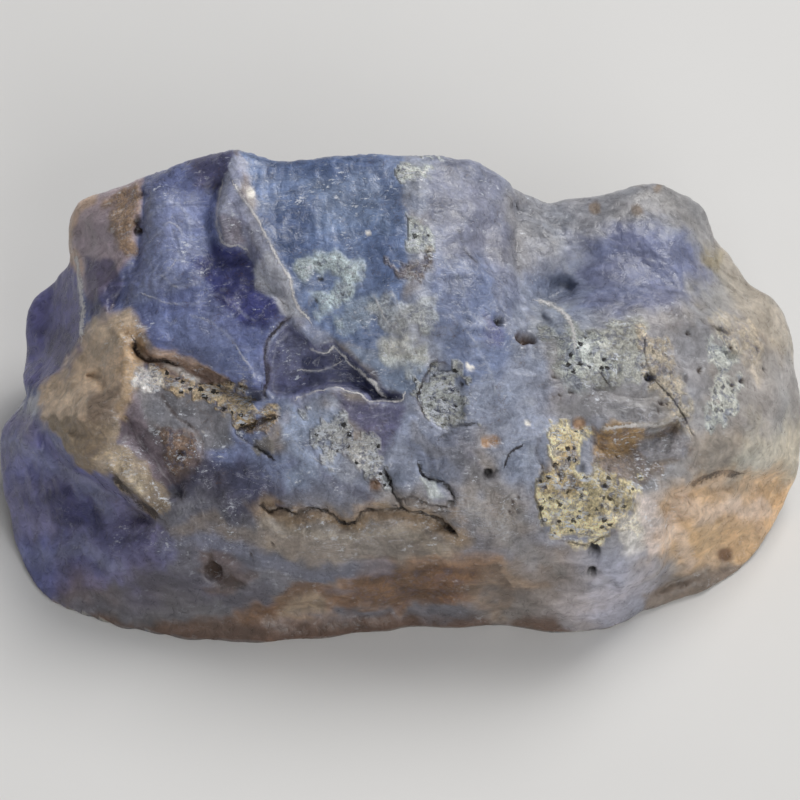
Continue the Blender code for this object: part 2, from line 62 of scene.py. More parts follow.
# The outline of the stone in the drawing, clockwise from the notch behind the lower left lobe.
OUTLINE = (
    (-18.55, 0.45), (-19.15, 1.5), (-19.45, 2.75), (-19.4, 4.1), (-19.0, 5.2), (-18.3, 5.85),
    (-17.5, 6.3), (-16.85, 6.6), (-16.3, 7.0), (-16.4, 7.6), (-16.45, 8.4), (-16.3, 9.25),
    (-15.8, 10.0), (-15.0, 10.35), (-14.0, 10.7), (-12.9, 11.05), (-12.25, 11.35), (-11.6, 11.55),
    (-10.75, 11.75), (-10.0, 12.05), (-9.35, 12.3), (-8.9, 12.6), (-8.4, 12.7), (-7.9, 12.55),
    (-7.1, 12.15), (-6.5, 11.8), (-5.0, 11.75), (-3.5, 11.95), (-2.0, 12.15), (-1.1, 12.25),
    (0.0, 12.1), (2.0, 12.05), (2.75, 11.9), (3.6, 11.9), (4.5, 11.5), (5.25, 11.05), (5.7, 10.4),
    (6.5, 10.0), (7.0, 9.7), (7.75, 9.65), (8.5, 9.9), (10.0, 9.95), (10.9, 10.2), (11.75, 10.6),
    (12.6, 10.85), (13.4, 10.75), (14.0, 10.4), (15.0, 10.0), (15.4, 9.6), (15.55, 8.9), (15.75, 8.25),
    (16.4, 7.3), (17.0, 6.25), (17.4, 5.6), (18.25, 5.1), (19.1, 4.4), (19.65, 3.6), (19.9, 2.75),
    (20.05, 1.25), (20.15, -0.5), (20.2, -2.5), (20.05, -4.25), (19.4, -5.5), (18.5, -6.5),
    (17.85, -7.25), (17.4, -8.1), (16.9, -8.75), (15.75, -9.2), (14.5, -9.7), (13.0, -10.3),
    (12.15, -10.35), (11.6, -10.7), (10.75, -11.25), (9.9, -11.6), (8.75, -11.55), (7.0, -11.4),
    (5.0, -11.25), (2.5, -11.2), (0.0, -11.35), (-2.5, -11.65), (-5.0, -12.0), (-7.25, -12.15),
    (-9.5, -12.0), (-12.0, -11.75), (-14.25, -11.3), (-16.5, -10.5), (-17.9, -9.65), (-18.65, -8.5),
    (-19.05, -7.25), (-19.5, -6.0), (-19.95, -4.85), (-20.25, -3.5), (-20.3, -2.25), (-20.0, -1.4),
    (-19.25, -0.6), (-18.75, 0.0),
)

# Survey heights, as (a, b, h), region by region.
SURVEY = {
    "top ridge": (
        (-15.8, 10.0, -3.2), (-14.0, 10.7, -2.4), (-12.25, 11.35, -1.4), (-10.0, 12.05, -0.5),
        (-8.4, 12.7, 0.0), (-6.5, 11.8, 0.4), (-3.5, 11.95, 0.6), (-1.1, 12.25, 0.8),
        (2.0, 12.05, 0.5), (4.5, 11.5, -0.4), (5.7, 10.4, -0.8), (7.0, 9.7, -1.8),
        (10.0, 9.95, -2.2), (12.6, 10.85, -2.8), (15.0, 10.0, -3.8),
    ),
    "right rim": (
        (15.75, 8.25, -3.9), (17.0, 6.25, -4.0), (19.1, 4.4, -4.4), (20.05, 1.25, -4.6),
        (20.2, -2.5, -4.8), (19.4, -5.5, -4.8), (17.4, -8.1, -3.6), (15.75, -9.2, -2.6),
    ),
    "foot": (
        (13.0, -10.3, -1.8), (9.9, -11.6, -1.2), (5.0, -11.25, -1.3), (0.0, -11.35, -1.3),
        (-5.0, -12.0, -0.9), (-9.5, -12.0, -0.9), (-14.25, -11.3, -1.4), (-17.9, -9.65, -2.4),
        (-19.05, -7.25, -3.6), (-19.95, -4.85, -4.4), (-20.1, -3.0, -4.6), (-19.25, -0.6, -3.8),
    ),
    "left shoulder and rear lobe": (
        (-18.6, 3.0, -3.2), (-17.2, 5.6, -3.0), (-16.2, 8.4, -3.0), (-15.0, 9.0, -1.7),
        (-15.2, 6.6, -1.2), (-14.2, 8.4, -0.5),
    ),
    "left facet": (
        (-12.5, 10.2, 0.2), (-9.5, 10.5, 1.0), (-13.2, 7.5, 0.9), (-10.3, 7.5, 2.0),
        (-7.5, 9.0, 2.0), (-13.6, 5.2, 1.3), (-10.0, 4.5, 2.8), (-6.5, 6.0, 3.2),
        (-12.3, 2.6, 2.4), (-9.0, 1.8, 3.2), (-6.8, 0.4, 3.8),
    ),
    "middle top": (
        (-5.2, 3.8, 3.9), (-3.2, 2.8, 4.3), (0.0, 0.3, 4.6), (-5.0, 9.8, 1.9), (-3.5, 7.5, 3.1),
        (-1.0, 9.8, 2.2), (-0.5, 7.3, 3.5), (0.2, 4.0, 4.5), (2.0, 9.5, 2.2), (3.0, 6.5, 3.9),
        (5.3, 9.0, 1.0), (5.5, 6.5, 2.6), (4.6, 3.5, 4.3),
    ),
    "right block": (
        (7.3, 8.6, -0.6), (8.0, 5.6, 0.4), (10.0, 8.4, -0.6), (10.0, 6.0, 1.0), (12.6, 8.9, -1.2),
        (12.6, 6.0, 0.8), (14.6, 7.5, -1.8), (15.0, 5.0, -0.2), (16.6, 4.2, -1.4),
        (18.4, 3.2, -2.4),
    ),
    "right middle": (
        (8.5, 3.6, 2.8), (12.0, 3.6, 2.2), (15.0, 3.2, 0.6), (17.2, 1.8, -0.3), (10.0, 1.2, 4.0),
        (13.5, 1.0, 2.8), (16.5, -0.4, 1.0), (19.0, 0.0, -1.8), (8.5, -1.2, 4.5),
        (12.0, -1.0, 3.9), (14.2, -0.9, 3.0), (10.5, -3.0, 4.0), (12.5, -4.0, 3.6),
        (14.5, -3.2, 2.4), (17.0, -2.8, 0.6), (19.3, -2.6, -2.2),
    ),
    "nose and lower right": (
        (15.0, -6.0, 0.8), (17.0, -5.0, -0.6), (14.0, -8.0, -0.2), (16.3, -7.2, -1.8),
        (18.6, -4.8, -3.0), (12.4, -6.5, 2.2), (12.0, -8.5, 1.2), (10.3, -7.0, 3.2),
        (9.8, -9.5, 1.4), (8.0, -8.6, 2.2), (11.0, -10.4, -0.2),
    ),
    "belly": (
        (2.0, -2.0, 5.0), (5.5, -2.4, 5.0), (7.5, -4.0, 4.8), (4.0, -5.5, 4.5), (0.5, -4.6, 4.8),
        (7.5, -6.5, 3.8), (2.4, -7.5, 3.4), (5.4, -8.5, 2.5), (-2.5, -7.8, 3.0), (-2.5, -1.0, 4.8),
        (-5.0, -1.5, 4.4), (-3.0, -4.0, 4.7), (-6.0, -4.3, 4.0), (-5.0, -6.0, 3.9),
        (-8.0, -6.3, 3.0), (-8.5, -1.2, 3.4), (-8.0, -4.0, 3.4), (-10.6, -4.0, 2.6),
        (-10.0, -1.0, 2.9), (-10.5, -6.5, 2.4),
    ),
    "tan ridge": (
        (-16.0, 2.6, -0.4), (-14.5, 3.2, 1.2), (-13.4, 1.6, 2.2), (-14.6, 0.0, 2.0),
        (-16.2, -0.9, 1.2), (-15.0, -2.4, 2.2), (-13.0, -3.9, 2.7), (-11.4, -5.4, 2.6),
    ),
    "lower left lobe": (
        (-18.8, -1.8, -2.2), (-17.4, -2.8, -0.6), (-17.8, -5.0, -1.4), (-15.4, -5.0, 0.4),
        (-13.4, -6.4, 1.2), (-16.5, -8.0, -1.2), (-13.5, -8.6, 0.6), (-10.0, -9.0, 1.2),
        (-6.0, -9.5, 1.4), (-2.0, -10.0, 0.9), (2.5, -9.8, 1.0), (6.0, -10.2, 0.5),
        (-12.0, -10.6, -0.4), (-8.0, -11.0, -0.2), (-16.0, -9.9, -1.6),
    ),
}
SURVEY_ROUNDING = 0.7

# Ledges: a line, the drop on the right-hand side of it as drawn, the width of the wall and how far
# the low ground reaches before it is level with the survey again.
LEDGES = {
    "lilac ledge": (
        ((-5.2, 4.6), (-5.6, 5.6), (-6.2, 6.6), (-6.9, 7.6), (-7.7, 8.2), (-8.6, 7.9), (-8.9, 9.0),
         (-8.6, 10.0), (-8.2, 11.6)),
        -1.2, 0.9, 3.0,
    ),
    "middle block's edge": (
        ((5.7, 10.6), (5.75, 9.0), (5.75, 7.2), (5.8, 5.6), (5.4, 4.7)),
        0.8, 1.6, 2.4,
    ),
    "alcove's lip": (
        ((14.6, -0.5), (13.6, -0.8), (12.2, -1.2), (10.6, -1.5), (9.2, -1.2)),
        -1.2, 0.7, 1.8,
    ),
    "tan band's foot": (
        ((-11.6, -6.0), (-12.8, -5.2), (-14.0, -4.3), (-15.2, -3.6), (-16.4, -3.0), (-17.3, -1.9),
         (-17.8, -0.9)),
        -1.2, 0.6, 2.6,
    ),
    "orange face's brow": (
        ((12.7, -4.6), (13.6, -4.2), (15.0, -3.8), (16.6, -3.4), (18.4, -3.4), (20.0, -3.0)),
        1.0, 0.7, 2.6,
    ),
    "nose's right side": (
        ((12.5, -4.6), (13.0, -6.4), (12.9, -8.4), (12.0, -9.9)),
        -1.0, 0.7, 2.6,
    ),
    "crust's underside": (
        ((2.9, -6.6), (2.1, -5.9), (0.4, -5.4), (-1.5, -5.4), (-2.4, -6.1), (-3.5, -5.6),
         (-5.2, -5.5), (-6.9, -5.2)),
        -0.5, 0.3, 2.2,
    ),
    "belly fold": (
        ((2.6, -8.8), (0.4, -9.6), (-2.0, -10.4), (-4.6, -9.9), (-7.4, -10.8)),
        -0.45, 0.4, 1.6,
    ),
}

# Creases: a line, the height of the ridge along it (below zero for a valley), and how quickly the
# ground falls away from it on each side.
CREASES = {
    "facet's lip": (
        ((-13.2, 3.5), (-11.9, 2.9), (-10.2, 2.4), (-8.4, 1.3), (-6.8, 0.7)), 0.45, 1.2,
    ),
    "crevice": (
        ((-13.6, 2.9), (-12.6, 2.1), (-11.4, 1.9), (-10.1, 1.4), (-8.2, 0.4), (-6.9, -0.1)),
        -1.0, 0.35,
    ),
    "teal face's crest": (
        ((-8.0, 10.6), (-7.4, 9.5), (-6.7, 8.5), (-6.2, 7.2), (-5.6, 6.1), (-4.7, 4.2)), 0.35, 0.9,
    ),
    "middle ridge": (
        ((1.0, 11.6), (0.9, 8.0), (0.8, 5.0), (0.0, 2.4)), 0.4, 1.2,
    ),
    "shoulder crease": (
        ((-12.8, 10.8), (-12.9, 9.0), (-13.2, 7.2), (-13.8, 5.8), (-14.6, 4.3)), -0.8, 0.6,
    ),
    "bridge crest": (
        ((-14.2, 3.6), (-13.7, 2.2), (-13.9, 0.6), (-15.0, -0.6), (-16.6, -1.0)), 0.6, 0.9,
    ),
    "bridge dimple": (
        ((-15.8, 1.2), (-15.0, 1.1), (-14.8, 0.2)), -0.7, 0.8,
    ),
    "tan band": (
        ((-16.8, -1.5), (-15.9, -2.7), (-14.6, -3.4), (-13.4, -4.3), (-12.2, -5.4)), 0.7, 0.8,
    ),
    "purple valley": (
        ((-13.9, -0.6), (-13.1, -2.0), (-12.0, -3.4), (-10.8, -5.2)), -1.0, 0.7,
    ),
    "notch": (
        ((-6.2, -1.0), (-8.0, -1.5), (-7.2, -2.2), (-6.4, -2.8)), -0.4, 0.35,
    ),
    "fold": (
        ((5.8, 10.2), (5.85, 8.0), (5.8, 6.0), (6.6, 5.0), (8.0, 5.4), (9.0, 5.9)), -0.9, 0.8,
    ),
    "crust ridge": (
        ((7.0, 4.4), (8.6, 4.0), (10.6, 3.4), (13.4, 3.8), (15.8, 3.6), (17.0, 2.2)), 0.7, 1.1,
    ),
    "valley under the crust": (
        ((9.4, 0.6), (11.6, 0.2), (13.4, 0.4), (14.4, 1.4)), -0.5, 0.9,
    ),
    "nose": (
        ((9.2, -2.8), (10.2, -5.4), (11.4, -7.4), (11.0, -9.8)), 0.7, 1.5,
    ),
    "main crack": (
        ((-7.1, -5.4), (-5.8, -5.3), (-4.9, -5.5), (-3.9, -5.4), (-3.3, -5.8), (-2.6, -6.2),
         (-2.0, -5.8), (-1.2, -5.4), (0.4, -5.5), (1.8, -5.8), (2.8, -6.7)),
        -0.7, 0.22,
    ),
    "upper crack": (
        ((-0.8, -3.4), (-0.4, -4.4), (0.1, -5.2)), -0.5, 0.22,
    ),
    "side crack": (
        ((0.9, -3.3), (1.7, -4.0), (2.5, -4.4), (2.6, -5.0)), -0.5, 0.22,
    ),
}

# Regions of the viewer's side: a closed line, how far the ground inside is let down, and the width
# of the wall round it.
REAR_LOBE = (
    ((-21.0, 0.7), (-18.3, 0.55), (-17.0, 1.2), (-16.2, 2.4), (-15.85, 4.0), (-15.9, 5.6),
     (-16.1, 7.1), (-17.0, 8.2), (-21.0, 8.2)),
    2.4, 1.6,
)
NAVY_CHIP = (
    (-6.6, 2.6), (-5.6, 3.9), (-5.0, 3.5), (-4.1, 2.8), (-3.2, 3.0), (-2.6, 2.4), (-1.7, 1.4),
    (-0.8, 0.5), (0.1, 0.1), (0.0, -0.15), (-1.5, -0.2), (-1.9, 0.3), (-3.2, 0.5), (-4.6, 0.25),
    (-6.0, 0.0), (-6.7, 0.4),
)
SUNK = {
    "navy chip": (
        NAVY_CHIP,
        0.7, 0.4,
    ),
    "dotted plate": (
        ((1.6, 1.9), (3.1, 1.6), (3.3, 0.0), (3.35, -0.9), (2.25, -1.6), (1.25, -0.75), (0.9, 0.0)),
        0.35, 0.3,
    ),
    "right hollow": (
        ((7.0, 5.4), (8.2, 7.6), (10.4, 8.6), (12.6, 8.2), (14.4, 6.6), (14.4, 5.0), (12.0, 4.4),
         (9.6, 4.4), (8.6, 4.8)),
        0.7, 1.6,
    ),
    "crust patch": (
        ((7.0, -2.0), (7.6, -1.2), (9.2, -1.4), (9.2, -3.2), (12.0, -4.4), (11.8, -6.2),
         (9.6, -7.0), (7.8, -6.8), (6.9, -5.0), (7.0, -3.4)),
        -0.2, 0.7,
    ),
}

# How the hidden sides draw in below this height: a draft, and a curve that grows with depth.
DRAFT_START = -4.2
DRAFT = 0.25
DRAFT_CURVE = 0.04
# The blend below rounds the rim inwards, so the outline is let out by this much to make up for it.
RIM_GAIN = 0.3
EDGE_BLEND = 0.28
# Ledges, creases and sunk regions fade out this close to the rim.
RIM_FADE = 0.8

# Fracture planes on the hidden sides, as a point and an outward direction, in the stone's own
# x, y, z.
FRACTURES = (
    ((0.0, 11.5, 8.0), (-0.01, 1.0, 0.08)),
    ((-17.2, 9.8, 10.5), (-0.55, 0.75, 0.35)),
    ((15.8, 11.0, 9.5), (0.6, 0.8, 0.2)),
    ((-19.8, 3.0, 2.0), (-0.85, 0.25, -0.45)),
    ((20.5, 1.0, 1.6), (0.75, 0.1, -0.6)),
    ((8.0, 9.4, 2.0), (0.1, 0.85, -0.5)),
    ((-8.0, 9.2, 2.0), (-0.15, 0.8, -0.55)),
)
# Shell-shaped scars on the hidden sides, as a centre and a radius.
SCARS = (
    ((4.0, 20.8, 9.0), 11.2),
    ((-7.5, 19.5, 5.5), 10.4),
    ((26.4, 9.6, 0.2), 8.8),
    ((-20.5, 16.5, 5.0), 8.0),
)

# The stone is made this much too deep below the table, and then cut off flat at z = 0.
SPARE_DEPTH = 1.5

# This shift puts the middle of the stone's box over the origin.
SETTLE = (-0.03, -1.07, 0.0)

# Unevenness: the size of the lumps and how far they push the surface, and shell-like chips whose
# rims meet in ridges.
WARP_SIZE, WARP_PUSH = 3.4, 0.5
CHIP_SIZE, CHIP_DEPTH = 3.6, 0.42
SMALL_CHIP_SIZE, SMALL_CHIP_DEPTH = 1.7, 0.16

# Colours of the stone and its stains, as seen in flat daylight (red, green and blue of 255).
BLUE_GREY = (140, 146, 164)
PLUM = (100, 98, 146)
DARK_PLUM = (70, 66, 96)
LILAC_TAN = (168, 152, 158)
ORANGE_TAN = (198, 170, 148)
RUST = (156, 128, 98)
FACET_BLUE = (104, 112, 152)
REAR_BLUE = (106, 112, 142)
FROST = (142, 148, 174)
NAVY = (58, 62, 112)
DEEP_NAVY = (34, 38, 70)
SLATE_BLUE = (110, 118, 152)
LILAC_GREY = (158, 161, 180)
PINK_GREY = (128, 122, 134)
TEAL = (106, 122, 156)
DEEP_TEAL = (80, 96, 132)
LIGHT_TEAL = (112, 128, 158)
TEAL_GREY = (122, 134, 156)
MINT = (176, 189, 193)
CREAM = (206, 209, 202)
TAN_CREAM = (188, 176, 156)
WHITE = (236, 230, 220)
FROST_WHITE = (224, 228, 236)
EDGE_WHITE = (222, 219, 218)
CRACK_BROWN = (34, 25, 22)
PALE = (182, 184, 194)
PALE_BLUE = (114, 118, 138)
BRIGHT_BLUE = (112, 124, 156)
VIOLET = (96, 94, 132)
HOLLOW_BLUE = (120, 128, 150)
STONE_GREY = (140, 141, 148)
WARM_GREY = (148, 144, 142)
OLIVE = (142, 130, 102)
RIM_TAN = (162, 154, 142)
CRUST_GREY = (168, 168, 160)
GRIT_GREY = (174, 175, 170)
OCHRE = (166, 138, 100)
YELLOW_CRUST = (240, 225, 182)
NOSE_LILAC = (170, 170, 184)
ORANGE_FACE = (206, 170, 128)
PINK_WHITE = (212, 198, 190)
BEIGE = (204, 194, 172)
TAN = (202, 180, 156)
UMBER_GREY = (126, 112, 100)
BAND_TAN = (148, 132, 112)
BAND_CREAM = (208, 188, 158)
PLUM_GREY = (126, 114, 120)
FLAT_GREY = (124, 122, 124)
PINK_BROWN = (124, 102, 86)
DARK_SLATE = (68, 64, 84)
CRUST_BROWN = (188, 166, 132)
SNOW = (236, 232, 228)
CHIP_LILAC = (106, 108, 136)
LIGHT_FACE = (150, 160, 182)
WEDGE_PURPLE = (92, 90, 118)
CRYSTAL_GREY = (184, 185, 184)
BELLY_GREY = (112, 110, 116)
BELLY_TAN = (150, 136, 120)
LOW_GREY = (104, 102, 104)
LOBE_PURPLE = (116, 114, 150)
LOBE_DARK = (58, 58, 94)
LOBE_BLUE = (100, 104, 152)
STAIN_BROWN = (106, 76, 50)
STAIN_ORANGE = (158, 124, 92)
DARK_BROWN = (54, 38, 28)
UMBER = (96, 72, 56)
BLACK = (22, 19, 18)

# Painted areas, back to front: colour, strength, edge softness in millimetres, how gritty it is
# from 0 for smooth chalcedony to 1 for crust, and a closed line in the drawing's a and b.
AREAS = (
    (BELLY_GREY, 1.0, 2.0, 0.0, (
        (-21.0, -4.6), (-10.0, -4.2), (-4.0, -4.6), (3.0, -6.0), (8.0, -8.0), (13.0, -9.6),
        (14.0, -13.0), (-21.0, -13.0))),
    (STONE_GREY, 0.8, 1.0, 0.0, (
        (5.8, 10.6), (13.0, 11.5), (16.0, 9.6), (15.4, 6.6), (14.0, 7.0), (10.0, 8.2), (7.4, 7.8),
        (6.0, 6.0))),
    (REAR_BLUE, 0.9, 1.6, 0.0, (
        (8.6, 8.4), (12.0, 8.9), (14.2, 7.8), (15.6, 6.4), (14.4, 4.6), (10.8, 4.2), (8.8, 4.8))),
    (REAR_BLUE, 0.5, 1.2, 0.0, ((10.0, 8.0), (12.6, 8.4), (13.0, 6.2), (10.6, 5.6))),
    (HOLLOW_BLUE, 1.0, 0.7, 0.0, ((6.4, 6.2), (8.6, 6.8), (9.4, 5.7), (8.2, 5.2), (6.6, 5.2))),
    (WARM_GREY, 0.8, 0.9, 0.1, (
        (11.6, 10.2), (13.2, 11.2), (15.6, 9.8), (15.8, 7.6), (14.6, 8.0), (12.8, 9.2))),
    (RIM_TAN, 0.9, 0.8, 0.0, (
        (15.4, 8.8), (16.4, 5.6), (17.4, 3.4), (19.6, 1.8), (21.0, 1.6), (20.6, 4.8), (17.6, 6.8))),
    (OLIVE, 0.7, 0.5, 0.1, ((15.3, 7.8), (16.2, 7.6), (16.0, 6.6), (15.2, 6.8))),
    (LILAC_TAN, 1.0, 0.3, 0.0, (
        (-17.0, 6.9), (-17.0, 9.8), (-15.4, 10.9), (-12.8, 11.6), (-12.9, 9.2), (-13.2, 7.6),
        (-14.2, 6.2), (-15.3, 4.8), (-15.9, 5.6))),
    (RUST, 0.85, 0.6, 0.5, (
        (-14.6, 10.3), (-13.2, 10.7), (-13.0, 9.0), (-13.3, 7.2), (-14.1, 7.0), (-14.5, 8.8))),
    (PLUM, 1.0, 0.35, 0.0, (
        (-20.0, 0.4), (-20.0, 5.0), (-18.4, 6.6), (-16.2, 7.2), (-15.8, 4.6), (-15.9, 2.2),
        (-17.4, 0.7))),
    # Painted shade: a darker patch in the gap between the rear lobe and the tan bridge.
    (DARK_PLUM, 0.7, 0.6, 0.0, ((-17.9, 3.4), (-16.6, 3.8), (-16.2, 2.4), (-17.4, 1.2))),
    # Painted shade: a dark patch in the recess under the shoulder, where shade falls.
    (DARK_PLUM, 0.8, 0.3, 0.0, (
        (-15.6, 7.1), (-14.4, 6.9), (-13.8, 6.0), (-14.2, 4.6), (-15.3, 3.4), (-15.7, 4.6))),
    (TEAL, 1.0, 0.4, 0.0, (
        (-8.0, 12.6), (-7.0, 9.3), (-6.2, 7.6), (-5.2, 5.3), (-4.4, 4.0), (-2.6, 2.9), (-0.8, 2.0),
        (0.2, 5.0), (0.4, 9.0), (0.2, 12.8), (-4.0, 12.8))),
    (DEEP_TEAL, 1.0, 0.8, 0.0, ((-7.0, 9.8), (-4.9, 9.8), (-4.1, 7.8), (-4.6, 6.0), (-5.8, 6.2))),
    (DEEP_TEAL, 0.7, 0.6, 0.0, ((-7.2, 12.4), (-1.0, 12.6), (-1.2, 11.5), (-4.8, 11.2), (-6.8, 11.2))),
    (LIGHT_TEAL, 0.8, 1.0, 0.0, ((-4.4, 11.0), (-1.2, 11.4), (-0.6, 8.6), (-2.0, 7.4), (-4.0, 8.6))),
    (DEEP_TEAL, 0.6, 0.8, 0.0, ((-2.3, 8.2), (-0.2, 8.6), (0.1, 6.0), (-1.6, 5.4))),
    (MINT, 0.95, 0.6, 0.6, (
        (-3.9, 7.3), (-2.3, 7.1), (-2.3, 5.2), (-3.4, 4.0), (-4.2, 4.1), (-3.7, 5.6), (-4.9, 6.4),
        (-4.8, 7.1))),
    (MINT, 0.35, 0.8, 0.9, ((-3.4, 5.0), (-1.4, 5.0), (-0.8, 2.6), (-2.4, 3.4))),
    (FACET_BLUE, 1.0, 0.25, 0.0, (
        (-12.85, 11.6), (-13.0, 9.25), (-12.95, 8.0), (-13.2, 6.9), (-13.6, 5.75), (-14.5, 4.5),
        (-13.75, 3.75), (-12.75, 3.35), (-12.25, 2.5), (-11.25, 2.4), (-10.25, 2.1), (-9.25, 1.6),
        (-8.4, 1.0), (-6.9, 0.1), (-6.75, 1.0), (-6.65, 2.5), (-6.4, 3.1), (-5.5, 4.1), (-6.25, 5.0),
        (-7.2, 5.75), (-7.15, 6.9), (-8.0, 7.85), (-8.9, 7.85), (-9.15, 9.25), (-8.9, 10.85),
        (-8.15, 12.2), (-8.4, 13.2), (-10.0, 12.9))),
    (FROST, 0.45, 0.9, 0.3, ((-12.9, 10.2), (-10.2, 10.2), (-9.8, 7.5), (-10.3, 5.6), (-12.9, 5.0))),
    (NAVY, 1.0, 0.6, 0.0, (
        (-10.0, 6.8), (-9.2, 7.8), (-7.9, 7.9), (-7.1, 7.0), (-7.1, 5.8), (-6.1, 5.0), (-5.5, 4.2),
        (-6.4, 3.2), (-8.0, 3.8), (-9.6, 5.2))),
    (SLATE_BLUE, 0.8, 0.7, 0.0, (
        (-12.6, 4.2), (-10.0, 4.4), (-8.4, 3.2), (-7.0, 2.2), (-6.9, 0.6), (-8.8, 1.7), (-11.0, 2.6))),
    (DARK_PLUM, 0.8, 0.7, 0.0, (
        (-11.0, 12.6), (-8.4, 13.4), (-7.9, 12.0), (-8.8, 10.2), (-10.4, 10.8))),
    (LILAC_GREY, 1.0, 0.15, 0.15, (
        (-8.25, 12.2), (-8.9, 10.85), (-9.15, 9.25), (-8.9, 7.9), (-8.0, 7.85), (-7.2, 7.0),
        (-7.15, 5.8), (-6.2, 5.0), (-5.6, 4.1), (-4.6, 4.0), (-5.2, 5.2), (-5.7, 6.4), (-6.4, 7.8),
        (-7.1, 9.1), (-8.0, 10.3), (-7.6, 12.0))),
    # Painted light: a paler layer on the ledge's lower face, lightening it where the crest shades it.
    (FROST_WHITE, 0.6, 0.3, 0.15, (
        (-7.2, 7.0), (-7.15, 5.8), (-6.2, 5.0), (-5.6, 4.1), (-4.8, 4.2), (-5.6, 6.2), (-6.5, 7.6))),
    (PINK_GREY, 0.8, 0.15, 0.2, ((-9.1, 9.3), (-7.9, 9.0), (-7.75, 7.9), (-8.9, 7.9))),
    (PALE_BLUE, 0.9, 0.8, 0.0, (
        (1.2, 12.8), (4.8, 12.0), (5.8, 10.0), (5.8, 6.0), (5.4, 3.0), (3.0, 2.2), (1.6, 5.0),
        (1.4, 9.0))),
    (BRIGHT_BLUE, 0.8, 0.9, 0.0, (
        (1.6, 7.2), (4.6, 6.8), (5.2, 4.2), (5.2, 1.4), (3.2, 0.8), (1.4, 3.2))),
    (VIOLET, 0.6, 0.5, 0.0, ((4.2, 4.0), (5.0, 3.8), (4.8, 2.8), (4.1, 3.0))),
    (FLAT_GREY, 0.5, 1.2, 0.0, ((5.4, 10.4), (7.6, 9.6), (7.8, 7.0), (5.6, 6.4))),
    (TEAL_GREY, 1.0, 0.4, 0.1, (
        (-2.6, 2.7), (-1.2, 2.4), (0.6, 2.2), (1.6, 1.6), (1.0, 0.6), (0.2, 0.2), (-0.8, 0.6),
        (-1.7, 1.5))),
    (CREAM, 0.9, 0.25, 0.8, ((0.0, 11.95), (1.6, 11.9), (1.5, 11.2), (0.2, 11.25))),
    (CREAM, 0.8, 0.25, 0.9, ((0.5, 8.8), (1.5, 8.7), (1.5, 7.4), (0.6, 7.4))),
    (UMBER_GREY, 0.7, 0.3, 0.9, ((0.0, 6.9), (1.5, 7.2), (1.5, 5.9), (0.4, 5.7))),
    (CREAM, 0.45, 0.7, 1.0, ((-1.1, 4.4), (0.6, 5.1), (1.5, 4.5), (1.2, 3.1), (-0.8, 2.8))),
    (CREAM, 0.7, 0.8, 0.55, ((-1.0, 3.1), (1.1, 3.2), (1.3, 2.2), (0.3, 1.4), (-0.8, 1.8))),
    (GRIT_GREY, 0.95, 0.15, 1.0, (
        (1.6, 1.9), (3.1, 1.6), (3.3, 0.0), (3.35, -0.9), (2.25, -1.6), (1.25, -0.75), (0.9, -0.1))),
    (CRUST_GREY, 0.9, 0.5, 0.6, (
        (7.2, 3.4), (8.4, 3.8), (12.2, 3.8), (12.6, 1.6), (11.6, 0.6), (8.2, 0.2), (7.4, 1.6))),
    (CREAM, 0.8, 0.6, 0.9, ((8.6, 3.4), (10.6, 3.2), (10.4, 1.2), (8.6, 0.4), (7.8, 1.4))),
    (TAN_CREAM, 0.85, 0.4, 0.7, (
        (12.0, 3.4), (13.4, 3.0), (14.2, 0.4), (14.7, -1.4), (13.2, -1.2), (12.4, 0.6))),
    (STONE_GREY, 0.6, 0.5, 0.2, ((13.4, 3.4), (15.6, 3.8), (15.8, 0.4), (14.4, 0.0))),
    (CREAM, 0.8, 0.35, 0.8, (
        (15.6, 3.3), (16.7, 3.0), (16.8, 0.6), (16.4, -1.2), (15.6, -1.2), (15.8, 1.0))),
    (TAN_CREAM, 0.7, 0.6, 0.6, ((15.0, 4.4), (17.2, 4.0), (18.4, 2.4), (17.6, 0.8), (16.8, 2.6))),
    (WARM_GREY, 0.7, 1.2, 0.1, ((17.0, 2.0), (20.6, 2.0), (20.8, -1.2), (17.4, -1.2))),
    (BLUE_GREY, 0.5, 1.2, 0.0, ((5.4, 1.6), (7.2, 1.8), (9.5, 0.0), (7.6, -0.6), (5.2, -0.2))),
    (FLAT_GREY, 0.85, 0.6, 0.1, (
        (7.6, 0.0), (9.4, 0.3), (13.0, 0.3), (13.8, -0.8), (12.0, -1.2), (9.0, -1.3), (7.6, -0.8))),
    (UMBER_GREY, 0.9, 0.4, 0.4, (
        (9.6, -1.6), (14.0, -1.2), (14.8, -2.4), (13.2, -3.9), (11.0, -4.2), (9.6, -3.4))),
    (OCHRE, 0.95, 0.3, 0.4, ((9.7, -1.4), (12.2, -1.35), (12.3, -2.0), (11.0, -2.7), (9.8, -2.7))),
    (STONE_GREY, 0.7, 0.4, 0.3, ((12.0, -2.0), (14.6, -1.6), (14.4, -2.9), (12.4, -3.4))),
    (YELLOW_CRUST, 1.0, 0.2, 0.75, (
        (7.0, -2.0), (7.25, -1.5), (8.0, -1.1), (8.75, -1.25), (9.5, -2.0), (9.1, -2.5), (9.0, -3.1),
        (9.5, -3.5), (11.25, -4.0), (12.0, -4.5), (11.75, -5.5), (12.0, -6.25), (11.0, -6.5),
        (10.0, -6.85), (9.25, -7.25), (8.0, -7.0), (7.25, -6.0), (7.0, -5.25), (6.75, -4.25),
        (7.25, -3.5), (7.0, -2.75))),
    (OLIVE, 0.6, 0.5, 0.7, (
        (9.4, -3.2), (11.4, -4.0), (12.0, -5.0), (11.6, -6.0), (9.8, -5.8), (9.0, -4.4))),
    (OCHRE, 0.4, 0.3, 0.8, ((7.2, -1.4), (9.0, -1.6), (8.6, -2.9), (7.4, -2.9))),
    (OCHRE, 0.6, 0.3, 0.8, ((7.2, -2.6), (8.8, -2.9), (9.2, -4.2), (8.4, -4.8), (7.1, -4.4))),
    (WHITE, 0.7, 0.4, 0.4, ((10.75, -5.5), (12.1, -5.6), (12.2, -7.6), (10.9, -7.9))),
    (NOSE_LILAC, 0.9, 2.4, 0.0, (
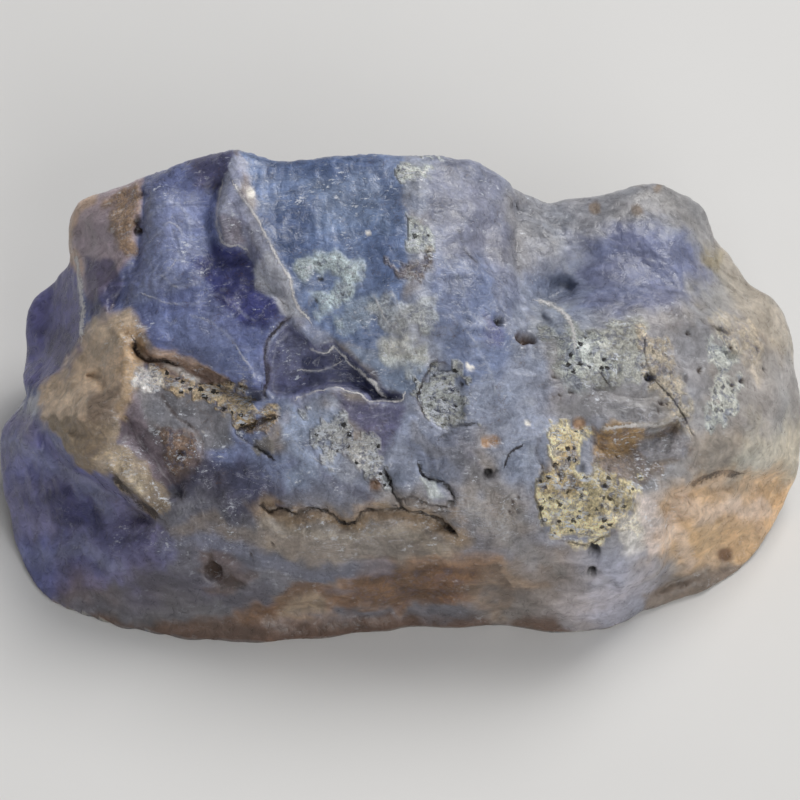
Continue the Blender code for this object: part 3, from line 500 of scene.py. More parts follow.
        (8.0, -7.4), (12.2, -8.0), (12.9, -9.2), (11.6, -10.8), (9.6, -12.2), (7.6, -11.6),
        (8.4, -9.4))),
    (PINK_WHITE, 0.9, 0.5, 0.1, ((11.9, -4.6), (13.8, -4.4), (14.0, -7.4), (12.4, -8.2))),
    (ORANGE_FACE, 0.95, 1.6, 0.0, (
        (13.2, -5.2), (14.4, -4.5), (16.0, -3.9), (18.4, -3.5), (20.6, -4.2), (19.8, -6.0),
        (17.4, -8.2), (14.6, -8.6), (13.4, -8.0))),
    (PINK_WHITE, 0.25, 1.4, 0.0, ((15.2, -4.4), (18.0, -4.2), (17.6, -6.4), (15.4, -6.0))),
    (BEIGE, 0.6, 1.6, 0.1, ((17.2, -1.2), (21.0, -1.2), (21.0, -4.6), (18.4, -3.6), (16.4, -3.4))),
    # Painted shade: a darker strip on the lifted underside at the lower right.
    (UMBER_GREY, 0.9, 0.4, 0.1, (
        (12.3, -9.7), (15.0, -8.8), (17.4, -8.0), (17.6, -9.4), (14.0, -10.8), (12.2, -11.0))),
    (LOBE_PURPLE, 1.0, 0.9, 0.0, (
        (-21.0, -0.2), (-18.6, -0.6), (-17.4, -2.2), (-15.6, -3.8), (-13.6, -5.0), (-12.0, -6.4),
        (-11.6, -8.4), (-12.2, -10.2), (-17.0, -11.4), (-21.0, -8.0))),
    (LOBE_DARK, 0.9, 0.8, 0.0, ((-17.8, -4.4), (-15.0, -4.5), (-14.6, -6.4), (-17.4, -6.8))),
    (LOBE_DARK, 0.6, 0.8, 0.0, ((-17.0, -7.2), (-14.6, -7.2), (-14.8, -8.6), (-16.8, -8.6))),
    (LOBE_BLUE, 0.9, 0.9, 0.0, ((-20.0, -6.8), (-17.2, -6.8), (-17.0, -9.6), (-19.0, -10.0))),
    (LOBE_BLUE, 0.5, 0.8, 0.0, ((-20.4, -1.6), (-18.0, -1.6), (-17.2, -3.4), (-19.6, -4.4))),
    (LOW_GREY, 0.85, 1.0, 0.1, (
        (-17.4, -9.6), (-11.0, -8.6), (-7.6, -9.6), (-7.4, -11.2), (-16.0, -11.6))),
    (UMBER, 0.4, 1.3, 0.0, ((-17.2, -8.7), (-14.9, -8.5), (-14.3, -9.8), (-16.6, -10.2))),
    (PLUM_GREY, 1.0, 0.5, 0.1, (
        (-14.4, 0.8), (-12.6, 1.0), (-12.0, -1.6), (-11.2, -3.8), (-12.6, -5.2), (-14.2, -2.2))),
    (DARK_SLATE, 0.35, 2.0, 0.0, (
        (-13.0, -5.6), (-8.0, -5.6), (-7.4, -8.0), (-9.0, -10.6), (-13.4, -10.2))),
    (TAN, 1.0, 0.8, 0.15, (
        (-13.4, 4.6), (-14.6, 4.5), (-15.9, 2.8), (-17.3, 0.8), (-18.0, -0.4), (-16.8, -2.0),
        (-15.4, -2.6), (-14.2, -1.4), (-13.2, -0.4), (-12.8, 1.4), (-13.0, 3.0))),
    (OCHRE, 0.5, 0.5, 0.2, ((-14.2, 3.8), (-13.1, 3.5), (-12.9, 0.2), (-13.8, -1.2), (-14.1, 1.4))),
    # Painted shade: a grey-brown patch darkens the dimple in the tan bridge, where shade falls.
    (UMBER_GREY, 0.85, 0.6, 0.0, (
        (-15.8, 0.5), (-14.0, 0.7), (-13.7, -0.6), (-14.8, -1.4), (-16.0, -0.8))),
    (BAND_TAN, 1.0, 0.25, 0.3, (
        (-17.7, -0.9), (-16.7, -2.5), (-16.2, -3.1), (-15.5, -3.5), (-14.75, -3.6), (-13.75, -4.6),
        (-13.0, -5.1), (-12.1, -5.8), (-11.6, -5.4), (-11.7, -4.4), (-12.5, -3.2), (-13.3, -2.6),
        (-14.1, -2.1), (-14.2, -1.2), (-15.8, -1.0))),
    (BAND_CREAM, 0.5, 0.5, 0.4, (
        (-15.2, -2.9), (-14.0, -2.5), (-12.6, -3.7), (-12.8, -4.4), (-14.4, -3.5))),
    (PLUM_GREY, 0.9, 0.3, 0.1, (
        (-13.9, -1.1), (-13.2, -1.3), (-12.0, -2.5), (-11.1, -4.0), (-11.5, -4.4), (-12.6, -3.0),
        (-13.6, -2.0))),
    (FLAT_GREY, 0.9, 0.5, 0.1, (
        (-13.0, 0.2), (-12.0, 0.7), (-10.0, 0.4), (-8.4, -0.8), (-8.2, -2.2), (-10.0, -2.4),
        (-12.2, -1.9))),
    (PINK_BROWN, 0.9, 0.4, 0.6, (
        (-12.0, -1.6), (-10.4, -1.7), (-9.8, -2.6), (-9.9, -3.6), (-10.9, -3.8), (-11.8, -2.8))),
    (DARK_SLATE, 0.75, 1.4, 0.0, (
        (-10.4, -3.2), (-8.6, -3.0), (-6.4, -3.4), (-5.8, -5.0), (-9.4, -5.3), (-10.8, -4.7))),
    (CRUST_BROWN, 0.95, 0.3, 0.9, (
        (-12.4, 2.0), (-10.4, 1.2), (-8.8, 0.8), (-7.0, 0.0), (-6.2, -0.6), (-6.4, -1.3), (-8.0, -1.2),
        (-8.8, -0.2), (-10.4, 0.1), (-11.8, 0.4))),
    (SNOW, 0.9, 0.25, 0.6, ((-13.1, 1.3), (-12.0, 1.4), (-11.8, 0.3), (-12.8, 0.0))),
    (TAN_CREAM, 0.4, 0.25, 1.0, ((-12.2, 1.5), (-10.4, 0.9), (-9.4, 0.4), (-11.4, 0.4))),
    (OCHRE, 0.7, 0.2, 0.8, ((-7.75, -1.0), (-6.25, -0.9), (-6.3, -1.7), (-7.6, -1.8))),
    (OLIVE, 0.6, 0.2, 0.5, ((-7.6, -1.8), (-6.4, -1.8), (-6.4, -2.5), (-7.2, -2.4))),
    (CHIP_LILAC, 1.0, 0.12, 0.1, NAVY_CHIP),
    (DEEP_NAVY, 0.75, 0.5, 0.0, (
        (-4.8, 2.4), (-3.2, 2.7), (-2.7, 2.4), (-1.7, 1.4), (-0.7, 0.4), (0.1, 0.1), (-0.2, -0.2),
        (-1.8, 0.4), (-4.4, 0.9))),
    (DEEP_NAVY, 0.9, 0.3, 0.0, (
        (-2.6, 1.6), (-1.7, 1.2), (-0.7, 0.4), (0.1, 0.1), (-0.2, -0.2), (-1.4, 0.2), (-2.4, 0.8))),
    (NAVY, 0.35, 0.5, 0.0, ((-6.4, 1.3), (-4.4, 1.4), (-4.0, 0.6), (-6.2, 0.3))),
    (LIGHT_FACE, 0.95, 0.9, 0.1, (
        (-5.9, -0.1), (-3.2, -0.1), (-3.0, -1.6), (-2.8, -3.8), (-5.4, -4.2), (-6.0, -2.6))),
    (WEDGE_PURPLE, 0.95, 0.6, 0.1, (
        (-3.4, 0.1), (0.0, -0.3), (-0.3, -1.8), (-1.0, -2.6), (-2.0, -1.5))),
    (CRYSTAL_GREY, 0.9, 0.35, 1.0, (
        (-4.9, -0.6), (-3.4, -0.8), (-1.5, -1.8), (-0.3, -3.2), (-0.6, -4.0), (-2.4, -3.8),
        (-3.6, -2.6))),
    (PALE_BLUE, 0.5, 0.8, 0.0, ((0.2, -0.6), (2.6, -1.8), (4.2, -3.4), (1.6, -3.4), (0.0, -2.2))),
    (BELLY_TAN, 0.7, 0.7, 0.15, (
        (-7.0, -5.5), (-3.3, -5.9), (-2.3, -6.3), (-1.8, -5.6), (1.4, -5.9), (2.9, -6.9), (2.4, -8.2),
        (-2.0, -8.4), (-6.6, -7.6))),
    (CREAM, 0.7, 0.2, 0.5, ((1.1, -3.9), (1.9, -4.1), (2.3, -4.7), (1.5, -4.9))),
    (STAIN_ORANGE, 0.75, 1.2, 0.3, (
        (2.0, -7.6), (4.4, -7.4), (6.6, -8.8), (7.2, -9.8), (4.0, -10.2), (-2.0, -10.6), (-8.4, -11.4),
        (-7.4, -10.2), (-3.4, -9.0))),
    (STAIN_BROWN, 0.8, 0.8, 0.35, (
        (-2.6, -9.0), (0.6, -8.7), (3.6, -8.5), (5.6, -9.3), (2.0, -10.3), (-2.4, -10.4))),
    (UMBER, 0.5, 0.6, 0.4, ((-10.2, -7.6), (-8.6, -7.8), (-7.4, -8.9), (-8.6, -9.6), (-9.9, -9.0))),
    (BAND_TAN, 0.7, 0.4, 0.2, ((-6.4, -9.7), (-3.8, -9.7), (-3.6, -10.7), (-6.0, -10.9))),
    (BELLY_TAN, 0.5, 1.6, 0.1, (
        (5.0, -7.6), (9.0, -7.8), (10.4, -9.4), (9.4, -11.6), (5.0, -12.0), (3.4, -9.6))),
    # Painted shade: a dark band along the foot, where the stone turns under to the table.
    (UMBER, 0.9, 0.6, 0.1, (
        (-15.4, -11.0), (-6.0, -11.1), (0.0, -10.9), (8.0, -10.9), (8.4, -12.6), (-15.0, -12.8))),
)

# A faint pale scratch, as the start of a stroke.
SCRATCH = (FROST_WHITE, 0.3, 0.06, 0.8, 0.0)

# Painted strokes: colour, strength, half width in millimetres, how broken the stroke is, how deep
# it is cut (below zero for a raised lip), and an open line.
STROKES = (
    # The shoulder's orange rim: partly its orange stain, partly a painted glow where light shines
    # through the edge.
    (ORANGE_TAN, 0.9, 0.35, 0.2, 0.0, (
        (-15.9, 6.4), (-16.4, 7.4), (-16.5, 8.6), (-16.1, 9.6), (-15.2, 10.3))),
    (LILAC_GREY, 0.8, 0.14, 0.2, -0.05, ((-16.1, 7.0), (-15.95, 6.0), (-15.85, 4.6), (-15.9, 3.2))),
    (PALE, 0.9, 0.1, 0.3, -0.05, (
        (-8.2, 10.6), (-7.65, 9.75), (-7.15, 9.15), (-6.75, 8.5), (-6.4, 7.85), (-6.1, 7.1),
        (-5.7, 6.4), (-5.4, 5.75), (-5.15, 5.0), (-4.6, 4.1))),
    (PALE, 0.7, 0.08, 0.3, 0.05, ((-8.9, 10.8), (-9.15, 9.2), (-8.95, 7.9), (-8.2, 7.8), (-7.7, 7.6))),
    (PALE, 1.0, 0.07, 0.2, -0.05, (
        (-4.25, 2.65), (-3.9, 2.4), (-3.5, 2.4), (-3.25, 2.75), (-3.0, 2.5), (-2.65, 2.1),
        (-2.4, 1.75), (-2.0, 1.5), (-1.7, 1.1), (-1.25, 0.8), (-0.75, 0.2))),
    (PALE, 0.9, 0.06, 0.45, -0.03, (
        (-5.1, 0.1), (-4.75, 0.25), (-4.25, 0.4), (-3.5, 0.5), (-2.75, 0.45), (-2.0, 0.35),
        (-1.8, 0.15), (-1.4, -0.15), (-0.75, -0.05), (0.0, -0.1), (0.15, 0.25))),
    (PALE, 0.6, 0.06, 0.3, 0.0, ((-4.9, 1.6), (-3.75, 1.5), (-3.0, 1.85))),
    (UMBER, 0.8, 0.09, 0.3, 0.1, (
        (-5.5, 4.1), (-5.85, 3.75), (-6.4, 3.1), (-6.65, 2.5), (-6.7, 1.75), (-6.75, 1.0),
        (-6.9, 0.25))),
    (RUST, 0.75, 0.5, 0.6, 0.0, ((-13.6, 3.2), (-13.0, 2.3), (-11.6, 1.9), (-10.4, 1.5), (-9.0, 1.0))),
    (DARK_BROWN, 0.95, 0.13, 0.3, 0.12, (
        (-13.35, 2.85), (-13.15, 2.4), (-12.75, 2.05), (-11.85, 2.0), (-11.2, 1.8))),
    (DARK_BROWN, 0.8, 0.16, 0.7, 0.15, (
        (-10.2, 1.6), (-9.4, 1.3), (-8.6, 0.9), (-7.6, 0.5), (-6.9, 0.1))),
    (WHITE, 0.9, 0.16, 0.4, -0.08, ((-11.75, 1.85), (-11.0, 1.5), (-10.2, 1.0))),
    (DARK_BROWN, 0.8, 0.08, 0.4, 0.15, (
        (-6.25, -1.0), (-7.2, -1.2), (-8.0, -1.5), (-7.9, -1.8), (-7.25, -2.25), (-6.4, -2.85))),
    (UMBER, 0.8, 0.2, 0.4, 0.1, ((-14.3, -3.9), (-13.2, -4.9), (-12.2, -5.7))),
    (PALE, 0.8, 0.25, 0.4, 0.0, ((-19.2, -0.5), (-18.4, -0.5), (-17.9, 0.1))),
    (BLACK, 0.9, 0.1, 0.5, 0.1, ((2.15, -1.75), (2.75, -1.4), (3.5, -1.3))),
    (CREAM, 0.9, 0.14, 0.3, -0.05, ((7.0, 4.85), (7.9, 4.6), (8.5, 4.0), (8.75, 2.75))),
    (TAN_CREAM, 0.7, 0.1, 0.5, -0.05, (
        (10.1, -1.45), (11.0, -1.38), (12.0, -1.22), (13.25, -1.0), (14.0, -0.85), (14.5, -1.7))),
    (DARK_BROWN, 0.8, 0.12, 0.7, 0.1, ((15.2, 3.9), (15.7, 3.6), (16.5, 3.3))),
    (UMBER, 0.7, 0.15, 0.4, 0.1, ((14.6, -4.3), (15.6, -3.85), (16.8, -3.7))),
    (UMBER_GREY, 0.7, 0.06, 0.2, 0.05, ((10.1, 1.3), (10.25, 1.0), (10.4, 0.75))),
    (BLACK, 0.85, 0.08, 0.3, 0.1, ((5.3, -3.2), (5.5, -2.6), (5.9, -2.3))),
    (OCHRE, 0.55, 0.5, 0.5, 0.0, (
        (-6.9, -5.25), (-5.25, -5.65), (-3.65, -5.7), (-2.4, -6.3), (-1.7, -5.5), (0.0, -5.5),
        (1.85, -5.9), (2.75, -6.7))),
    (BLACK, 0.95, 0.09, 0.35, 0.18, (
        (-6.9, -5.25), (-6.5, -5.5), (-5.9, -5.35), (-5.25, -5.65), (-4.75, -5.45), (-4.0, -5.4),
        (-3.65, -5.6), (-3.25, -5.9), (-2.75, -6.2), (-2.4, -6.2), (-2.1, -6.0), (-1.95, -5.65),
        (-1.5, -5.45), (-0.75, -5.4), (0.0, -5.45), (0.75, -5.55), (1.35, -5.7), (1.85, -5.9),
        (2.25, -6.2), (2.75, -6.7))),
    (BLACK, 0.9, 0.08, 0.3, 0.12, (
        (-0.75, -3.5), (-0.6, -4.0), (-0.35, -4.5), (0.0, -5.0), (0.1, -5.4))),
    (BLACK, 0.9, 0.08, 0.3, 0.12, (
        (0.9, -3.25), (1.25, -3.75), (1.75, -3.95), (2.25, -4.2), (2.5, -4.5), (2.75, -5.0))),
    (*SCRATCH, ((-12.6, 9.0), (-11.8, 9.8), (-10.9, 9.5), (-10.4, 8.2), (-10.8, 7.0))),
    (*SCRATCH, ((-12.2, 8.2), (-11.5, 8.9), (-10.9, 8.3), (-11.0, 7.2), (-11.6, 6.4))),
    (*SCRATCH, ((-11.9, 6.2), (-11.0, 5.6), (-10.0, 5.9), (-9.3, 6.8))),
    (*SCRATCH, ((-12.8, 5.4), (-11.4, 4.8), (-10.0, 4.9), (-8.7, 5.6))),
    (*SCRATCH, ((-10.4, 4.2), (-9.2, 3.7), (-8.2, 2.8), (-7.4, 1.6))),
    (*SCRATCH, ((-8.9, 5.2), (-8.0, 4.4), (-7.2, 3.9), (-6.6, 3.9))),
    (FROST_WHITE, 0.6, 0.08, 0.6, -0.04, ((-1.4, 5.2), (-0.9, 4.4), (-0.3, 3.4), (-0.5, 2.4))),
    (FROST_WHITE, 0.6, 0.08, 0.6, -0.04, ((-0.4, 5.4), (0.1, 4.4), (0.7, 3.6), (0.6, 2.4))),
    (*SCRATCH, ((2.2, 7.0), (3.0, 5.8), (3.4, 4.4), (4.4, 3.4))),
    (*SCRATCH, ((2.6, 4.2), (3.6, 3.0), (4.4, 1.6), (4.8, 0.4))),
    (*SCRATCH, ((-5.4, -2.0), (-4.6, -2.8), (-3.4, -3.4), (-2.4, -4.2))),
    (BLACK, 0.7, 0.06, 0.5, 0.05, ((3.0, 8.4), (3.3, 7.6), (3.8, 6.9))),
    (BLACK, 0.7, 0.06, 0.5, 0.05, ((12.2, 3.0), (12.3, 1.9), (12.9, 0.8), (13.8, -0.1), (14.3, -0.9))),
    (BLACK, 0.6, 0.06, 0.5, 0.05, ((14.2, -0.6), (14.6, -1.4), (14.9, -2.0))),
    (UMBER, 0.8, 0.08, 0.4, 0.08, ((1.2, -0.6), (0.9, 0.2), (1.6, 1.8), (2.2, 1.9))),
    (DARK_BROWN, 0.8, 0.08, 0.5, 0.08, (
        (7.0, -1.8), (6.8, -2.6), (7.2, -3.5), (6.7, -4.3), (7.0, -5.2), (7.2, -6.0))),
    (UMBER, 0.7, 0.07, 0.5, 0.06, ((8.0, -7.0), (9.2, -7.2), (10.2, -6.8), (11.2, -6.5))),
    (UMBER, 0.7, 0.08, 0.4, 0.08, ((-7.4, -1.4), (-6.8, -0.9), (-6.2, -0.9))),
    (UMBER, 0.7, 0.07, 0.5, 0.05, (
        (-11.9, 0.2), (-11.2, -0.8), (-10.4, -1.4), (-9.9, -2.4), (-10.2, -3.4))),
    (UMBER, 0.7, 0.08, 0.4, 0.1, ((0.1, -4.9), (0.75, -4.85), (1.5, -5.15), (2.2, -5.3))),
    (STAIN_BROWN, 0.7, 0.35, 0.6, 0.1, (
        (-8.0, -11.0), (-6.4, -10.4), (-5.4, -9.6), (-3.6, -9.5), (-2.4, -10.3))),
    (DARK_BROWN, 0.8, 0.25, 0.6, 0.15, ((-9.5, -8.0), (-9.3, -8.7), (-8.8, -9.0), (-7.9, -9.2))),
    (DARK_BROWN, 0.5, 0.35, 0.8, 0.05, (
        (-1.4, -9.2), (0.6, -8.9), (2.6, -8.6), (4.2, -8.7), (5.4, -9.2))),
    (DARK_BROWN, 0.4, 0.35, 0.8, 0.05, ((0.4, -9.9), (2.4, -9.7), (4.4, -9.6), (6.4, -9.8))),
    (ORANGE_TAN, 0.6, 0.25, 0.6, 0.0, ((-12.6, 2.5), (-11.4, 2.2), (-10.2, 1.8), (-9.0, 1.3))),
    (UMBER, 0.5, 0.05, 0.7, 0.03, ((-8.4, 9.8), (-7.9, 9.0), (-7.3, 8.0), (-6.8, 6.8))),
    (UMBER, 0.5, 0.05, 0.7, 0.03, ((-6.9, 6.3), (-6.4, 5.6), (-5.9, 4.9), (-5.2, 4.6))),
    (SLATE_BLUE, 0.4, 0.25, 0.7, 0.0, ((-8.0, 11.4), (-8.3, 10.0), (-7.9, 8.8), (-7.0, 7.4))),
    (DARK_SLATE, 0.4, 0.3, 0.7, 0.0, ((-4.6, -2.2), (-4.0, -3.2), (-3.0, -4.2), (-1.6, -4.9))),
    (FLAT_GREY, 0.5, 0.4, 0.7, 0.0, ((0.8, -1.4), (2.4, -2.6), (4.0, -3.6), (5.4, -4.6))),
    (TAN_CREAM, 0.25, 0.3, 0.7, 0.0, (
        (-6.6, -6.2), (-4.4, -6.6), (-2.2, -6.9), (0.6, -6.6), (2.2, -7.4))),
    (WARM_GREY, 0.5, 0.4, 0.7, 0.0, ((3.6, -5.6), (5.2, -6.6), (6.6, -7.8), (8.0, -8.6))),
    (PINK_WHITE, 0.35, 0.5, 0.5, 0.0, ((14.2, -5.2), (15.6, -5.6), (16.8, -5.2), (18.2, -5.4))),
    (OCHRE, 0.4, 0.4, 0.6, 0.0, ((14.0, -7.6), (15.0, -6.6), (16.4, -6.2), (17.6, -6.6))),
    (PINK_WHITE, 0.35, 0.4, 0.5, 0.0, ((13.4, -6.2), (14.2, -7.0), (14.4, -8.2))),
    (BELLY_TAN, 0.5, 0.5, 0.6, 0.0, ((-11.0, -6.6), (-9.6, -6.2), (-8.0, -6.6), (-6.6, -7.4))),
    (PALE_BLUE, 0.45, 0.5, 0.6, 0.0, (
        (-12.0, -7.4), (-9.8, -6.9), (-7.0, -7.9), (-4.6, -8.6), (-1.0, -8.6))),
    (DARK_SLATE, 0.4, 0.5, 0.6, 0.0, ((-13.4, -9.6), (-11.2, -9.0), (-8.6, -9.9), (-6.8, -9.6))),
    (LOBE_DARK, 0.5, 0.4, 0.6, 0.0, ((-19.4, -5.0), (-17.2, -5.4), (-15.0, -6.8), (-13.2, -7.0))),
    (FROST, 0.35, 0.4, 0.6, 0.0, ((-19.6, -2.2), (-17.8, -3.0), (-15.8, -4.4), (-14.4, -5.4))),
    (FROST, 0.3, 0.4, 0.6, 0.0, ((-19.2, -7.4), (-17.6, -7.8), (-15.8, -7.4), (-13.8, -8.4))),
)

# Spots and pits: colour, depth in millimetres, and places as (a, b, radius).
SPOTS = (
    (BLACK, 0.1, (
        (-4.25, 6.9, 0.1), (-4.05, 6.8, 0.1), (-3.9, 6.6, 0.12), (-4.25, 6.45, 0.08),
        (-4.0, 6.05, 0.12), (-3.95, 5.7, 0.09), (-4.1, 5.4, 0.09), (-4.2, 5.0, 0.08),
        (-3.45, 5.0, 0.07), (-2.85, 7.65, 0.08), (-2.9, 7.35, 0.08), (-2.4, 6.75, 0.09))),
    (BLACK, 0.08, (
        (1.7, 1.3, 0.1), (2.3, 1.1, 0.12), (2.8, 1.2, 0.1), (1.9, 0.7, 0.11), (2.6, 0.5, 0.14),
        (3.0, 0.1, 0.1), (1.6, 0.1, 0.12), (2.2, 0.0, 0.1), (2.7, -0.4, 0.13), (1.9, -0.5, 0.12),
        (2.4, -0.9, 0.14), (3.0, -0.7, 0.1), (2.2, -1.3, 0.11), (1.5, -0.3, 0.1), (3.1, 0.8, 0.11))),
    (BLACK, 0.4, (
        (4.95, 4.0, 0.22), (4.4, -3.65, 0.26), (4.85, -3.4, 0.14), (9.7, -7.5, 0.32),
        (9.6, -8.6, 0.22), (10.0, -8.8, 0.16), (2.5, -5.1, 0.2), (12.5, 1.15, 0.24))),
    (UMBER, 0.5, ((6.3, 3.1, 0.32), (6.0, 3.2, 0.22), (6.6, 3.0, 0.2))),
    (DARK_BROWN, 0.2, (
        (8.15, -1.65, 0.13), (8.1, -1.95, 0.12), (7.8, -3.3, 0.13), (8.05, -3.8, 0.18),
        (8.0, -4.1, 0.15), (8.4, -4.5, 0.15), (7.2, -4.25, 0.13), (7.5, -5.0, 0.12), (7.9, -5.0, 0.13),
        (10.25, -4.25, 0.18), (10.6, -4.9, 0.15), (10.15, -5.25, 0.13), (10.85, -5.5, 0.15),
        (10.5, -3.4, 0.12), (10.85, -2.75, 0.12), (13.05, -3.6, 0.12))),
    (DARK_BROWN, 0.15, (
        (8.5, 0.4, 0.12), (8.0, 0.25, 0.1), (7.75, 1.15, 0.1), (13.05, -0.15, 0.13), (13.4, -0.2, 0.1),
        (13.0, -0.55, 0.14), (14.4, 3.3, 0.12), (16.6, 2.6, 0.16), (13.85, 1.6, 0.1),
        (17.1, 0.95, 0.16), (16.65, 0.75, 0.13), (17.85, 1.45, 0.12), (18.15, 1.5, 0.12),
        (17.75, 2.5, 0.13), (15.05, 1.5, 0.16))),
    (DARK_BROWN, 0.12, (
        (5.4, -4.6, 0.1), (5.6, -5.1, 0.14), (5.9, -5.6, 0.12), (5.5, -5.6, 0.1), (6.0, -4.9, 0.08),
        (-1.75, -6.85, 0.13), (-7.4, -7.75, 0.14), (-6.35, -7.15, 0.1), (0.5, -7.45, 0.14),
        (-10.95, -2.65, 0.2))),
    (STAIN_ORANGE, 0.15, ((4.3, -2.1, 0.3), (4.7, -2.05, 0.28), (9.0, -1.15, 0.32))),
    (DARK_BROWN, 0.3, ((-13.1, 8.9, 0.22), (-13.05, 8.5, 0.2), (-9.3, -8.6, 0.34))),
    (STAIN_BROWN, 0.0, ((-1.2, -4.2, 0.35), (16.25, -7.75, 0.4))),
    (UMBER_GREY, 0.0, ((9.75, 9.6, 0.3), (11.85, 9.5, 0.3), (12.85, 10.6, 0.22))),
    (WHITE, 0.0, (
        (-7.45, 10.35, 0.22), (-1.6, 8.3, 0.14), (-9.95, -1.65, 0.1), (3.5, 1.75, 0.22),
        (6.35, -1.2, 0.16), (-8.5, 7.95, 0.12))),
)

# The grid: rows along the stone, columns round it, how much the columns gather on the viewer's
# side, and how far the rows keep to even angles rather than even steps along the stone.
ROWS, COLUMNS = 360, 272
VIEWER_GATHER = 0.62
ROW_EVENNESS = 0.65

# The search along each ray, and the rounds that even out the steep sides.
SEARCH_STEPS, HALVINGS = 33, 10
EASING_ROUNDS = 6
EASED_FROM, EASED_WIDTH = 0.5, 0.3

# The drawing's fields: their ranges of a and b, their step, and what keeps a place off the last
# grid line.
FIELD_A, FIELD_B, FIELD_STEP = (-22.0, 22.1), (-14.5, 14.6), 0.1
LAST_CELL = 1.001

# The noises' random tables, and a shift that keeps their cells above zero.
NOISE_TABLE, CHIP_TABLE, CHIP_MARGIN = 32, 16, 0.15
CELL_SHIFT = 100.0

# A ledge or crease fades out near its ends, and farther out more slowly. Its exponential is gone
# after some reaches, and a curve strays a little from the points that it is drawn through.
END_TAPER, END_SPREAD = 0.4, 0.5
GONE_AFTER = 5.0
CURVE_STRAY = 0.5

# Ledges and creases fade below this depth, and relief fades close to the table.
FRONT_DEPTH = 1.6
TABLE_FADE = 0.3

# How far the shapes and colours wander from their drawn lines: size and push of each layer.
LINE_WANDER = ((0.6, 0.1), (0.22, 0.04))
COLOUR_WANDER = ((1.6, 0.35), (0.6, 0.2), (0.25, 0.08))
GRIT_RAGGED = 0.75

# Where the stone is worn or seen softly, as a start and a width: the right and left ends, the foot,
# and the rear block in b and a. There it has less fine detail.
WORN_RIGHT, WORN_LEFT, WORN_FOOT, WORN_MOST = (11.5, 4.0), (13.0, 2.5), (6.0, 2.5), 0.85
REAR_B, REAR_A, REAR_MOST = (3.0, 3.0), (6.5, 3.0), 0.8
SPECKLE_SIZE, STREAKED, LOW_DOWN = 0.7, (0.3, 1.6), (7.0, 1.5)

# Strokes: thinner ones than this are drawn sharply by the material and only faintly at the
# vertices, and a thin line shows out to so many half widths. NO_LINE means that none is near.
THIN_STROKE, THIN_STRAY, THIN_FAINT = 0.21, 0.35, 0.5
LINE_HALO, NO_LINE = 3.5, 9.0

# Relief in millimetres: chips, waves, crust and terraces.
FINE_CHIP_SIZE, FINE_CHIP_RELIEF, SMOOTH_SHARE = 0.8, 0.05, 0.35
WAVE_SIZE, WAVE_RELIEF = 1.1, 0.045
CRUST_SIZE, CRUST_RELIEF = 0.34, 0.05
TERRACE_SIZE, TERRACE_COUNT, TERRACE_WALL, TERRACE_RELIEF = 2.6, 2.8, 6.0, 0.08
TERRACE_WEAR = 0.7

# The material's patterns: lumps to a millimetre, detail, roughness and distortion.
CLOUDS = (0.5, 5.0, 0.6, 1.0)
MOTTLE = (2.2, 5.0, 0.6, 0.8)
VEILS = (0.7, 6.0, 0.66, 1.5)
GRAIN = (7.0, 4.0, 0.7, 0.0)
BANDING = (0.16, 1.0, 0.55, 0.0)
HAIRLINES = (0.45, 6.0, 0.68, 0.5)
FLECK_PATCHES = (0.55, 4.0, 0.55, 0.0)
CRUST_LUMPS = (1.9, 6.0, 0.74, 0.6)
SLANTED_FLECKS = ((1.5, 0.6), (2.1, -0.8))
FLECK_DETAIL = (5.0, 0.74)
PORE_SCALE = 2.3
BAND_COUNT = 120.0
GRAIN_SWING = 0.16

# How a pattern is graded: where it starts and ends, and what it gives at the start and the end.
GRADES = {
    "cloud shade": (0.3, 0.72, 0.84, 1.16),
    "mottle shade": (0.3, 0.7, 0.83, 1.17),
    "veil shade": (0.32, 0.68, 0.78, 1.2),
    "crisp where unworn": (0.0, 1.0, 1.0, 0.15),
    "band shade": (-1.0, 1.0, -0.07, 0.07),
    "band patches": (0.42, 0.56, 0.0, 1.0),
    "pale threads": (0.0, 0.012, 0.55, 0.0),
    "thread patches": (0.46, 0.58, 0.0, 1.0),
    "hairline": (0.0, 0.005, 0.7, 0.0),
    "hairline patches": (0.5, 0.4, 0.0, 1.0),
    "jagged line": (0.25, 0.75, -0.7, 0.7),
    "line's edge": (0.3, 0.9, 1.0, 0.0),
    "fleck patches": (0.46, 0.66, 0.0, 1.0),
    "fewer flecks where worn": (0.0, 1.0, 1.0, 0.2),
    # The white pinpoints are painted glints.
    "painted glints": (0.65, 0.71, 0.0, 0.9),
    "dark pinpoints": (0.36, 0.3, 0.0, 0.6),
    "fleck": (0.6, 0.65, 0.0, 0.75),
    "lump shade": (0.36, 0.6, 0.76, 1.3),
    "crust grain": (0.3, 0.7, 0.75, 1.35),
    "crust cover": (0.1, 0.8, 0.0, 1.0),
    "bare stone": (0.5, 0.42, 0.0, 0.5),
    "ragged pore": (0.2, 0.8, -0.14, 0.14),
    "picked pores": (0.6, 0.66, 0.0, 1.0),
    "pore": (0.36, 0.26, 0.0, 0.95),
    "pore cover": (0.45, 0.8, 0.0, 1.0),
    "dulled by grit": (0.0, 0.7, 0.3, 0.8),
    "uneven gloss": (0.3, 0.7, -0.06, 0.14),
    "dulled where dark": (0.015, 0.06, 0.4, 0.0),
}

# Camera, floor and light: millimetres for the lens, metres and watts for the rest.
LENS, SENSOR, CLIP_START = 270.0, 36.0, 0.01
FLOOR_HALF = 0.9
CARD_DARK, CARD_PALE = (221, 220, 218), (225, 224, 222)
LIGHT_TARGET = (0.0, 0.0, 0.005)
WINDOW = ("window", (0.24, 0.35, 0.48), 0.34, 3.0, (1.0, 0.99, 0.975))
FRONT_FILL = ("front_fill", (0.3, -0.5, 0.34), 0.5, 2.1, (1.0, 1.0, 1.0))
SKY, SKY_STRENGTH = (232, 234, 238), 0.26


